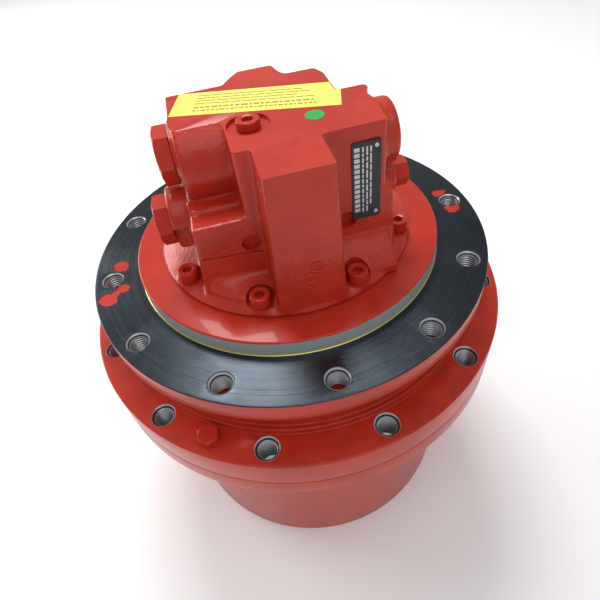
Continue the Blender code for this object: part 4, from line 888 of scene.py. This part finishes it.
def faced_flange():
    """Bare steel on the frame face and the pilot's side, enamel on the rim and on top of the pilot."""
    material, tree, shader, place = blank("faced_frame_flange")
    skin = use(tree, CAST_SKIN, place, Waves=0.1)
    lines = use(tree, TURNING_MARKS, place, Fineness=1900.0)
    dirt = use(tree, SMUDGES, place, Amount=1.0)["Mask"]
    radius, rise = radius_of(tree, place)

    # Where the steel is bare: over the face and the pilot's side, and inside the skirt
    ragged = maths(tree, "SUBTRACT", noise(tree, place, 130, 4.0), 0.5)
    height = plus(tree, rise, times(tree, ragged, 0.0008))
    band = times(tree, ramp(tree, height, *BARE_LOW), ramp(tree, height, *BARE_HIGH, 1.0, 0.0))
    within_skirt = ramp(tree, radius, SKIRT_R, SKIRT_R + SEAT, 1.0, 0.0)
    inner = times(tree, within_skirt, ramp(tree, rise, *BARE_LOW, 1.0, 0.0))
    painted, halo = paint_smears(tree, place)
    bare = maths(tree, "MULTIPLY", band, rest_of(tree, painted), clamp=True)
    bare = maths(tree, "MAXIMUM", bare, inner)

    # The oily dark face, stained round the paint, the pilot's side painted lighter as a painted
    # reflection, and the gold line at its foot
    grey = mixed(tree, halo, mixed(tree, dirt, BARE_STEEL, OILY_STEEL), SMEAR_EDGE)
    side = ramp(tree, rise, *PILOT_SIDE)
    in_root = ramp(tree, radius, *LINE_RADIUS, 1.0, 0.0)
    low_root = ramp(tree, rise, *LINE_HEIGHT, 1.0, 0.0)
    face = mixed(tree, side, grey, PILOT_STEEL_AND_REFLECTION)
    face = mixed(tree, times(tree, in_root, low_root), face, GOLD_LINE)

    # Gloss goes from the enamel's to that of the turning marks
    gloss = tree.nodes.new("ShaderNodeMix")
    give(tree, gloss, Factor=bare)
    feed(tree, gloss.inputs[2], ENAMEL_GLOSS)
    feed(tree, gloss.inputs[3], plus(tree, times(tree, lines["Gloss"], 0.20), 0.16))
    give(
        tree,
        shader,
        Base_Color=mixed(tree, bare, red_tone(tree, skin), face),
        Roughness=gloss.outputs[0],
        # Less metallic on the pilot's side, so that its painted reflection shows
        Metallic=times(tree, bare, rest_of(tree, times(tree, side, 0.7))),
        Specular_IOR_Level=ENAMEL_SPECULAR,
        Coat_Weight=times(tree, rest_of(tree, bare), ENAMEL_COAT),
    )
    ring_marks = times(tree, lines["Height"], bare)
    bump(tree, shader, plus(tree, ring_marks, times(tree, skin["Height"], 0.4)), 0.00009)
    return material


CAST_ENAMEL = enamel("cast_enamel", waves=1.0, coat=CAST_COAT, relief=0.0007)
TURNED_ENAMEL = enamel("turned_enamel")
SCREW_ENAMEL = enamel("screw_enamel", waves=0.30, relief=0.00035)
HUB_ENAMEL = enamel("hub_enamel", bare_within=NECK_BORE_R + RIM_EDGE)
DRUM_ENAMEL = enamel("drum_enamel", bare_within=COVER_R + RIM_EDGE)
FACED = faced_flange()
THREAD_STEEL = threads("thread_steel")
HOLE_STEEL = steel("hole_steel", (0.50, 0.50, 0.49), 0.34, 0.00002, 0.5, 0.85)
GROUND_STEEL = steel("ground_steel", (0.42, 0.43, 0.45), 0.26, 0.000008)
TURNED_STEEL = steel("turned_steel", (0.46, 0.47, 0.49), 0.34, 0.00002)
GEAR_STEEL = steel("gear_steel", (0.30, 0.30, 0.32), 0.32, 0.000012, 0.5)
BRAKE_LINING = steel("brake_lining", (0.34, 0.22, 0.12), 0.55, 0.00003, 0.5, 0.6)
RUBBER = plain("seal_rubber", (0.022, 0.022, 0.024), 0.62, 600)
LABEL_YELLOW = plain("label_yellow", (0.93, 0.91, 0.13), 0.50, 900)
LABEL_INK = plain("label_ink", (0.42, 0.30, 0.08), 0.55, 900)
PLATE_BLACK = plain("plate_black", (0.012, 0.013, 0.018), 0.32, 900)
PLATE_SILVER = plain("plate_silver", (0.55, 0.56, 0.58), 0.30, 900, 0.6)
DOT_GREEN = plain("dot_green", (0.012, 0.42, 0.050), 0.32, 700)


# Frame flange, hub and drum

frame_holes = ring_of(FRAME_BOLTS_R, BOLT_COUNT)
sprocket_holes = ring_of(SPROCKET_BOLTS_R, BOLT_COUNT, SPROCKET_BOLTS_TURN)
flange_bolts = ring_of(SPROCKET_BOLTS_R, 2, FLANGE_BOLT_TURN)
carrier_screws = ring_of(CARRIER_SCREW_CIRCLE_R, 3, math.radians(90))

spindle = add_piece("frame_flange", turned(filleted([
    (SHAFT_PASS_R, SPINDLE_FOOT, 0),
    (BEARING_BORE_R - SEAT, SPINDLE_FOOT, SMALL_EDGE),
    (BEARING_BORE_R - SEAT, BEARING_TOP + SEAT, 0),
    (INNER_RING_R, BEARING_TOP + SEAT, SMALL_EDGE),
    (OUTER_RING_R, SEAL_LAND_TOP, 0),
    (OUTER_RING_R, SKIRT_ROOF, SMALL_EDGE),
    (SKIRT_IN_R, SKIRT_ROOF, SMALL_EDGE),
    (SKIRT_IN_R, SKIRT_END, SMALL_EDGE),
    (SKIRT_R, SKIRT_END, SMALL_EDGE),
    (SKIRT_R, FLANGE_LOW, RIM_EDGE),
    (FLANGE_R, FLANGE_LOW, RIM_EDGE),
    (FLANGE_R, FRAME_FACE, SMALL_EDGE),
    (PILOT_R, FRAME_FACE, SMALL_EDGE),
    (PILOT_R, PILOT_TOP, RIM_EDGE),
    (SPIGOT_R + SEAT, PILOT_TOP, SMALL_EDGE),
    (SPIGOT_R + SEAT, SPIGOT_LEDGE, SMALL_EDGE),
    (BRAKE_BORE_R, SPIGOT_LEDGE, SMALL_EDGE),
    (BRAKE_BORE_R, BRAKE_SEAT, 0),
    (BRAKE_SEAT_R, BRAKE_SEAT, SMALL_EDGE),
    (BRAKE_SEAT_R, SPINDLE_FLOOR, RIM_EDGE),
    (SHAFT_PASS_R, SPINDLE_FLOOR, SMALL_EDGE),
])), FACED)
frame_threads = repeated(lambda: threaded_hole(FLANGE_LOW - REACH, FRAME_FACE), frame_holes)
motor_screw_hole = (SCREW_HOLE_R, SCREW_SEAT - MOTOR_SCREW_L - SCREW_END_GAP, PILOT_TOP + REACH)
carrier_screw_hole = (SCREW_HOLE_R, SPINDLE_FOOT - REACH, SPINDLE_FOOT + CARRIER_SCREW_DEPTH)
carved(spindle, frame_threads, THREAD_STEEL)
carved(spindle, repeated(lambda: rod(*motor_screw_hole), screw_places()), HOLE_STEEL)
carved(spindle, repeated(lambda: rod(*carrier_screw_hole), carrier_screws), HOLE_STEEL)
stand_in(spindle, "fixed_side", "spindle")

hub = add_piece("sprocket_hub_casting", turned(filleted([
    (NECK_R, HUB_TOP, SMALL_EDGE),
    (NECK_R, NECK_STEP, RIM_EDGE),
    (NECK_STEP_R, NECK_STEP, RIM_EDGE),
    (NECK_STEP_R, SPROCKET_FACE, SMALL_EDGE),
    (SPROCKET_R, SPROCKET_FACE, RIM_EDGE),
    (SPROCKET_R, HUB_SEAM, SEAM_EDGE),
    (HUB_SPIGOT_R, HUB_SEAM, SEAM_EDGE),
    (HUB_SPIGOT_R, HUB_FOOT, SMALL_EDGE),
    (BEARING_OUTER_R + SEAT, HUB_FOOT, SMALL_EDGE),
    (BEARING_OUTER_R + SEAT, SPACER_LOW, SEAT),
    (HUB_RIB_R, SPACER_LOW, SEAM_EDGE),
    (HUB_RIB_R, SPACER_TOP, SEAM_EDGE),
    (BEARING_OUTER_R + SEAT, SPACER_TOP, SEAT),
    (BEARING_OUTER_R + SEAT, SEAL_FLOOR, SEAT),
    (SKIRT_IN_R, SEAL_FLOOR, SEAM_EDGE),
    (SKIRT_IN_R, SEAL_FLOOR + SEAL_RING_H - SEAL_LIP_H, SEAT),
    (NECK_BORE_R, SEAL_FLOOR + SEAL_RING_H, SEAT),
    (NECK_BORE_R, HUB_TOP, SMALL_EDGE),
])), HUB_ENAMEL)
hub_threads = repeated(lambda: threaded_hole(HUB_SEAM - REACH, SPROCKET_FACE), sprocket_holes)
hub_bolt_holes = repeated(lambda: through_hole(SCREW_HOLE_R, HUB_SEAM, SPROCKET_FACE), flange_bolts)
carved(hub, hub_threads, THREAD_STEEL)
carved(hub, hub_bolt_holes, HOLE_STEEL)
stand_in(hub, "output_side", "sprocket_hub")

drum = add_piece("ring_gear_casting", turned(filleted([
    (SPROCKET_R, RING_TOP, SEAM_EDGE),
    (SPROCKET_R, RING_FLANGE_LOW, DRUM_FLANGE_EDGE),
    (DRUM_R, RING_FLANGE_LOW, DRUM_FILLET),
    (DRUM_R, 0, DRUM_FOOT_EDGE),
    (COVER_R + SEAT, 0, SEAM_EDGE),
    (COVER_R + SEAT, COVER_RING_LOW - 2 * SEAT, 0),
    (COVER_RING_R + 2 * SEAT, COVER_RING_LOW - 2 * SEAT, 0),
    (COVER_RING_R + 2 * SEAT, COVER_LOW, 0),
    (COVER_R + SEAT, COVER_LOW, 0),
    (COVER_R + SEAT, COVER_TOP + SEAT, 0),
    (RING_TIP_R - MODULE, COVER_TOP + SEAT, 0),
    (RING_TIP_R - MODULE, TEETH_TOP, 0),
    (HUB_SPIGOT_R + SEAT, TEETH_TOP, 0),
    (HUB_SPIGOT_R + SEAT, RING_TOP, SEAM_EDGE),
])), DRUM_ENAMEL)
drum_holes = repeated(lambda: through_hole(CLEARANCE_R, RING_FLANGE_LOW, RING_TOP), sprocket_holes)
carved(drum, plate(tooth_spaces(), COVER_TOP + SEAT - REACH, TEETH_TOP + REACH), GEAR_STEEL)
carved(drum, drum_holes, HOLE_STEEL)
drum_bolt_hole = (SCREW_HOLE_R, SPROCKET_FACE - FLANGE_BOLT_L - SCREW_END_GAP, RING_TOP + REACH)
carved(drum, repeated(lambda: rod(*drum_bolt_hole), flange_bolts), HOLE_STEEL)
stand_in(drum, "output_side", "ring_gear_drum")


# End cover with its ring and plugs

cover_plugs = ring_of(COVER_PLUG_CIRCLE_R, 2, 0.0, COVER_LOW - SEAT)
cover = add_piece("end_cover_plate", turned(filleted([
    (0, COVER_LOW, 0),
    (COVER_R, COVER_LOW, SEAM_EDGE),
    (COVER_R, COVER_TOP, SMALL_EDGE),
    (COVER_PAD_R, COVER_TOP, SMALL_EDGE),
    (COVER_PAD_R, COVER_TOP + COVER_PAD_H, SMALL_EDGE),
    (0, COVER_TOP + COVER_PAD_H, 0),
])), TURNED_ENAMEL)
plug_hole = (COVER_PLUG_R + SEAT, COVER_LOW, COVER_TOP)
carved(cover, repeated(lambda: through_hole(*plug_hole), ring_of(COVER_PLUG_CIRCLE_R, 2)), HOLE_STEEL)
stand_in(cover, "output_side", "end_cover")

ring_sizes = (COVER_RING_IN_R, COVER_RING_R, COVER_RING_LOW, COVER_RING_HIGH)
ring = add_piece("cover_ring_with_gap", open_ring(*ring_sizes), TURNED_STEEL)
stand_in(ring, "output_side", "cover_retaining_ring")


# Screws and plugs

cover_plug = socket_screw("cover_plug", COVER_PLUG, TURNED_STEEL)
cover_plug_places = [at_place(place) @ Matrix.Rotation(math.pi, 4, "X") for place in cover_plugs]
spread_over(cover_plug, numbered("cover_plug", 2), cover_plug_places, "output_side")

motor_screw = socket_screw("motor_screw", MOTOR_SCREW, SCREW_ENAMEL)
motor_screw_places = [at_place(place) for place in screw_places(SCREW_SEAT + SEAT)]
spread_over(motor_screw, numbered("motor_screw", 8), motor_screw_places, "fixed_side")

top_plug = socket_screw("top_plug", TOP_PLUG, SCREW_ENAMEL)
top_plug_place = Matrix.Translation((*SPOT, BLOCK_TOP - SPOT_DEPTH + SEAT))
spread_over(top_plug, ["top_socket_plug"], [top_plug_place], "fixed_side")

flange_bolt = hexagon_bolt("flange_bolt", FLANGE_BOLT, SCREW_ENAMEL)
flange_bolt_places = [at_place((x, y, SPROCKET_FACE + SEAT, turn)) for x, y, _, turn in flange_bolts]
spread_over(flange_bolt, numbered("flange_bolt", 2), flange_bolt_places, "output_side")

for node, face, head_r in PORT_PLUGS:
    plug_sizes = (head_r, PLUG_HEAD_T, PLUG_SHANK_R, PLUG_SHANK_L)
    port_plug = hexagon_bolt(node + "_shape", plug_sizes, SCREW_ENAMEL)
    side = -1 if face[0] < 0 else 1
    seat = Matrix.Translation((face[0] + side * SEAT, face[1], face[2]))
    outward = seat @ Matrix.Rotation(side * math.pi / 2, 4, "Y")
    spread_over(port_plug, [node], [outward], "fixed_side")


# Motor casting

def boss(place, radius, edge):
    """A round boss that stands out of the block along X."""
    return moved(rod(radius, 0, BOSS_DEPTH, BOSS_SIDES, edge), across_x(place))


def wedge():
    """The lower right corner of the front, which slopes out over the mounting flange."""
    corners = [
        (INSIDE, MOTOR_LOW + CAST_LIFT),
        (WEDGE_FRONT, MOTOR_LOW + CAST_LIFT),
        (WEDGE_FRONT, WEDGE_LIP),
        (BLOCK_FRONT, WEDGE_TOP),
        (INSIDE, WEDGE_TOP),
    ]
    along = Matrix(((0, 0, 1, 0), (1, 0, 0, 0), (0, 1, 0, 0), (0, 0, 0, 1)))
    return moved(plate(corners, *WEDGE_X), along)


def ramp_section(share):
    """Corners of the left ramp's section at a share of its length: foot, lip, top and inside."""
    x = RAMP_X[0] + (RAMP_X[1] - RAMP_X[0]) * share
    top = RAMP_TOP[0] + (RAMP_TOP[1] - RAMP_TOP[0]) * share
    lip = Vector((x * RAMP_R / math.hypot(RAMP_X[0], CASING_HALF_DEPTH), 0, 0))
    lip.y = -math.sqrt(RAMP_R ** 2 - lip.x ** 2)
    return [
        Vector((lip.x, lip.y, MOTOR_LOW + CAST_LIFT)),
        Vector((lip.x, lip.y, RAMP_LOW)),
        Vector((x, -CASING_HALF_DEPTH, top)),
        Vector((x, INSIDE, top)),
        Vector((x, INSIDE, MOTOR_LOW + CAST_LIFT)),
    ]


def left_ramp():
    """The slope from the foot of the casing's front, left of the column, to a lip over the flange."""
    bm = bmesh.new()
    section = bm.faces.new([bm.verts.new(corner) for corner in ramp_section(0.0)])
    for step in range(1, RAMP_STEPS + 1):
        drawn = bmesh.ops.extrude_face_region(bm, geom=[section])["geom"]
        section = next(part for part in drawn if isinstance(part, bmesh.types.BMFace))
        before = ramp_section((step - 1) / RAMP_STEPS)
        after = ramp_section(step / RAMP_STEPS)
        for vertex in section.verts:
            nearest = min(range(len(before)), key=lambda place: (before[place] - vertex.co).length)
            vertex.co = after[nearest]
    bmesh.ops.recalc_face_normals(bm, faces=bm.faces)
    return bm


def mounting_flange():
    """The motor's round foot: a spigot below, a thin rim and a cone up to the casing."""
    return turned(filleted([
        (0, MOTOR_SPIGOT_LOW, 0),
        (SPIGOT_R, MOTOR_SPIGOT_LOW, RIM_EDGE),
        (SPIGOT_R, MOTOR_LOW, 0),
        (MOTOR_FLANGE_R, MOTOR_LOW, 0),
        (MOTOR_FLANGE_R - SEAT, MOTOR_FLANGE_EDGE, SMALL_EDGE),
        (*MOTOR_CONE_FOOT, DRUM_FILLET),
        (*MOTOR_CONE_TOP, MOTOR_CONE_FILLET),
        (0, MOTOR_CONE_TOP[1], 0),
    ]))


def motor_forms():
    """Every solid form of the motor casting, each a closed shape that runs into its neighbours."""
    above = BLOCK_TOP + DRUM_FILLET
    casing_x = (-CASING_HALF_W, CASING_HALF_W)
    casing_y = (-CASING_HALF_DEPTH, CASING_HALF_DEPTH)
    column_y = (COLUMN_FRONT, INSIDE)
    return [
        mounting_flange(),
        box(casing_x, casing_y, (MOTOR_FLANGE_EDGE, CASING_TOP), CASING_DRAFT, FRONT_DRAFT),
        box(SHELF_PAD_X, SHELF_PAD_Y, (CASING_TOP - DRUM_FILLET, CASING_TOP + SHELF_PAD_H)),
        left_ramp(),
        plate(BLOCK_OUTLINE, BLOCK_FOOT, above),
        box(COLUMN_X, column_y, (MOTOR_LOW + SEAT, above), COLUMN_SPREAD, FRONT_DRAFT),
        wedge(),
        *[boss(*sizes) for sizes in BOSSES],
        repeated(lambda: rod(PAD_R, MOTOR_LOW + SEAT, SCREW_SEAT + REACH), screw_places()),
    ]


def pocket():
    """The hollow round one motor screw, with the screw's hole below it."""
    return turned([
        (0, MOTOR_LOW - REACH),
        (SCREW_HOLE_R, MOTOR_LOW - REACH),
        (SCREW_HOLE_R, SCREW_SEAT),
        (POCKET_R, SCREW_SEAT),
        (POCKET_R, SCREW_SEAT + POCKET_H),
        (0, SCREW_SEAT + POCKET_H),
    ], HOLE_SIDES)


def spot_face():
    """The spot face on top of the block, with the plug's hole below it."""
    floor_z = BLOCK_TOP - SPOT_DEPTH
    hole_r, hole_depth = SPOT_HOLE
    return moved(turned([
        (0, floor_z - hole_depth),
        (hole_r, floor_z - hole_depth),
        (hole_r, floor_z),
        (SPOT_R, floor_z),
        (SPOT_R, BLOCK_TOP + REACH),
        (0, BLOCK_TOP + REACH),
    ], BOSS_SIDES), Matrix.Translation((*SPOT, 0)))


def side_hole(x):
    """A blind hole in the front of the casing, beside the column."""
    return moved(rod(*SIDE_HOLE), into_front(x, BLOCK_FRONT, SIDE_HOLE_Z))


def port(face, radius, depth):
    """A port that runs into a boss from its face."""
    return moved(rod(radius, -REACH, depth), across_x(face))


def parting_groove():
    """The faint line that the mould's parting left on the front of the casing."""
    groove = box(*[(-half, half) for half in GROOVE])
    return moved(groove, Matrix.Translation(GROOVE_PLACE) @ Matrix.Rotation(GROOVE_SLOPE, 4, "Y"))


def cast_mark(x, z):
    """A small raised ring cast on the front of the column."""
    outline = filleted([
        (CAST_MARK_R - CAST_MARK_T, -CAST_MARK_SUNK, 0),
        (CAST_MARK_R, -CAST_MARK_SUNK, 0),
        (CAST_MARK_R, CAST_MARK_T, CAST_MARK_ROUND),
        (CAST_MARK_R - CAST_MARK_T, CAST_MARK_T, CAST_MARK_ROUND),
    ], 3)
    outward = into_front(x, COLUMN_FRONT, z) @ Matrix.Rotation(math.pi, 4, "X")
    return moved(turned(outline, HOLE_SIDES), outward)


motor = add_piece("motor_casting", gathered(motor_forms()), CAST_ENAMEL)
remesh = motor.modifiers.new("Cast", "REMESH")
remesh.mode = "VOXEL"
remesh.voxel_size = CAST_GRAIN
soften = motor.modifiers.new("Soften", "SMOOTH")
soften.factor = 0.5
soften.iterations = SOFTENED
settle(motor, CAST_SMOOTH_ANGLE)
wide = (-SPROCKET_R, SPROCKET_R)
plug_port = (PLUG_SHANK_R + SEAT, PLUG_SHANK_L + REACH)
motor_bore = (MOTOR_BORE_R, MOTOR_SPIGOT_LOW - REACH, highest("motor_shaft") + REACH)
for hollow, finish in (
    (box(wide, wide, (BLOCK_TOP, BLOCK_TOP + SPROCKET_R)), TURNED_ENAMEL),
    (repeated(pocket, screw_places()), SCREW_ENAMEL),
    (spot_face(), TURNED_ENAMEL),
    (gathered([side_hole(x) for x in SIDE_HOLES_X]), SCREW_ENAMEL),
    *[(port(face, *plug_port), SCREW_ENAMEL) for _, face, _ in PORT_PLUGS],
    (port(RIGHT_UPPER_BOSS, *OPEN_PORT), SCREW_ENAMEL),
    (parting_groove(), CAST_ENAMEL),
    (rod(*motor_bore, SCREW_SIDES), HOLE_STEEL),
):
    carved(motor, hollow, finish, smooth=CAST_SMOOTH_ANGLE)
for x, z in CAST_MARKS:
    carved(motor, cast_mark(x, z), CAST_ENAMEL, "UNION", CAST_SMOOTH_ANGLE)
stand_in(motor, "fixed_side", "motor_housing")


# Label, dot and name plate, with plain strokes where the real ones are printed

def strokes(rows, start, end, gap):
    """Plain strokes along X, each row given as (y, width, lengths taken in turn)."""
    shapes = []
    thickness = (FOIL_T - STROKE_T, FOIL_T + STROKE_T)
    for y, width, lengths in rows:
        at = start
        for length in itertools.cycle(lengths):
            if at + length >= end:
                break
            shapes.append(box((at, at + length), (y - width / 2, y + width / 2), thickness))
            at += length + gap
    return gathered(shapes)


def stuck_on(name, bm, material):
    """A thin piece that is stuck on the motor."""
    piece = add_piece(name, bm, material)
    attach(piece, "fixed_side")


foil = (BLOCK_TOP - FOIL_T, BLOCK_TOP + FOIL_T)
label_edge = Vector(LABEL_CORNERS[1]) - Vector(LABEL_CORNERS[0])
label_turn = Matrix.Rotation(math.atan2(label_edge.y, label_edge.x), 4, "Z")
label_place = Matrix.Translation((*LABEL_CORNERS[0], BLOCK_TOP)) @ label_turn
label_ink = strokes(LABEL_ROWS, *LABEL_PRINT, LABEL_GAP)
stuck_on("yellow_label", plate(LABEL_CORNERS, *foil), LABEL_YELLOW)
stuck_on("yellow_label_strokes", moved(label_ink, label_place), LABEL_INK)
dot = moved(rod(DOT_R, *foil, SCREW_SIDES), Matrix.Translation((*DOT_CENTRE, 0)))
stuck_on("green_dot", dot, DOT_GREEN)

plate_low, plate_high = PLATE_Z
plate_w = PLATE_X[1] - PLATE_X[0]
plate_h = plate_high - plate_low
plate_place = Matrix.Translation((PLATE_X[0], PLATE_FACE, plate_high)) @ Matrix(PLATE_AXES)
plate_blank = box((0, plate_h), (0, plate_w), (-PLATE_T, FOIL_T))
bmesh.ops.bevel(
    plate_blank,
    geom=[edge for edge in plate_blank.edges if edge.verts[0].co.xy == edge.verts[1].co.xy],
    offset=PLATE_CORNER,
    affect="EDGES",
    segments=4,
    profile=0.5,
    material=-1,
)
stuck_on("name_plate", moved(plate_blank, plate_place), PLATE_BLACK)
top_inset, foot_inset, side_inset = PLATE_RIVET_INSET
rivets = [(x, plate_w - side_inset, 0, 0) for x in (top_inset, plate_h - foot_inset)]
plate_print = gathered([
    strokes(PLATE_ROWS, PLATE_MARGIN, plate_h - PLATE_MARGIN, PLATE_GAP),
    repeated(lambda: rod(*PLATE_RIVET, RIVET_SIDES, SEAT), rivets),
])
stuck_on("name_plate_strokes", moved(plate_print, plate_place), PLATE_SILVER)


# CAD nodes that keep their own shape

FINISHES = {
    "bearing": GROUND_STEEL,
    "seal_ring": GROUND_STEEL,
    "toric": RUBBER,
    "planet_gear": GEAR_STEEL,
    "sun": GEAR_STEEL,
    "planet_carrier": TURNED_STEEL,
    "planet_pin": GROUND_STEEL,
    "carrier_screw": HOLE_STEEL,
    "shaft": TURNED_STEEL,
    "brake_disc_spring": GEAR_STEEL,
    "brake_disc": BRAKE_LINING,
    "brake_plate": GROUND_STEEL,
    "brake_piston": TURNED_STEEL,
}
for name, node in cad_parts.items():
    for word, finish in FINISHES.items():
        if word in name:
            node.data.materials.clear()
            node.data.materials.append(finish)
            break


# Floor, light and camera

FLOOR_SPAN = (-3, 3)
FLOOR_Z = (-0.05, -0.0002)
FLOOR_WHITES = ((0.94, 0.94, 0.94), (0.97, 0.97, 0.97))
SKY = (0.97, 0.98, 1.0, 1.0)
SKY_STRENGTH = 0.46
LOOKED_AT = Vector((0, 0, 0.25))
# Soft lights as (name, place, (width, height), watts)
LIGHTS = (
    ("overhead", (0.0, 0.95, 1.95), (0.85, 0.60), 23),
    ("window", (-1.6, 1.4, 0.9), (1.4, 0.9), 24),
    ("above", (0.1, -1.0, 2.3), (1.8, 1.8), 14),
)
# The photo's camera: its place, its lens and sensor in millimetres, and how it is turned
CAMERA_PLACE = (-0.0353, -0.2813, FRAME_FACE + 0.2324)
CAMERA_LENS = 28.68
CAMERA_SENSOR = 36.0
ELEVATION = math.radians(46.85)
ROLL = math.radians(8.44)
YAW = math.radians(-7.8)


def floor_finish():
    """A pale matt floor with very slow cloudy patches."""
    material, tree, shader, place = blank("pale_floor")
    patches = mixed(tree, noise(tree, place, 1.5, 2.0), *FLOOR_WHITES)
    give(tree, shader, Base_Color=patches, Roughness=0.9, Specular_IOR_Level=0.1)
    return material


def soft_light(name, place, size, power):
    """A soft rectangular light that looks at the middle of the drive."""
    light = bpy.data.lights.new(name, "AREA")
    light.shape = "RECTANGLE"
    light.size, light.size_y = size
    light.energy = power
    lamp = in_scene(name, light)
    lamp.location = place
    lamp.rotation_euler = (LOOKED_AT - Vector(place)).to_track_quat("-Z", "Y").to_euler()


floor = add_piece("floor", box(FLOOR_SPAN, FLOOR_SPAN, FLOOR_Z), floor_finish())

world = bpy.data.worlds.new("studio")
world.use_nodes = True
give(world.node_tree, world.node_tree.nodes["Background"], Color=SKY, Strength=SKY_STRENGTH)
bpy.context.scene.world = world
for light_sizes in LIGHTS:
    soft_light(*light_sizes)

camera = in_scene("camera", bpy.data.cameras.new("camera"))
camera.data.sensor_width = CAMERA_SENSOR
camera.data.lens = CAMERA_LENS
tilt = Matrix.Rotation(math.pi / 2 - ELEVATION, 4, "X") @ Matrix.Rotation(-ROLL, 4, "Z")
camera.matrix_world = Matrix.Translation(CAMERA_PLACE) @ Matrix.Rotation(YAW, 4, "Z") @ tilt
bpy.context.scene.camera = camera
bpy.context.scene.view_settings.view_transform = "Standard"
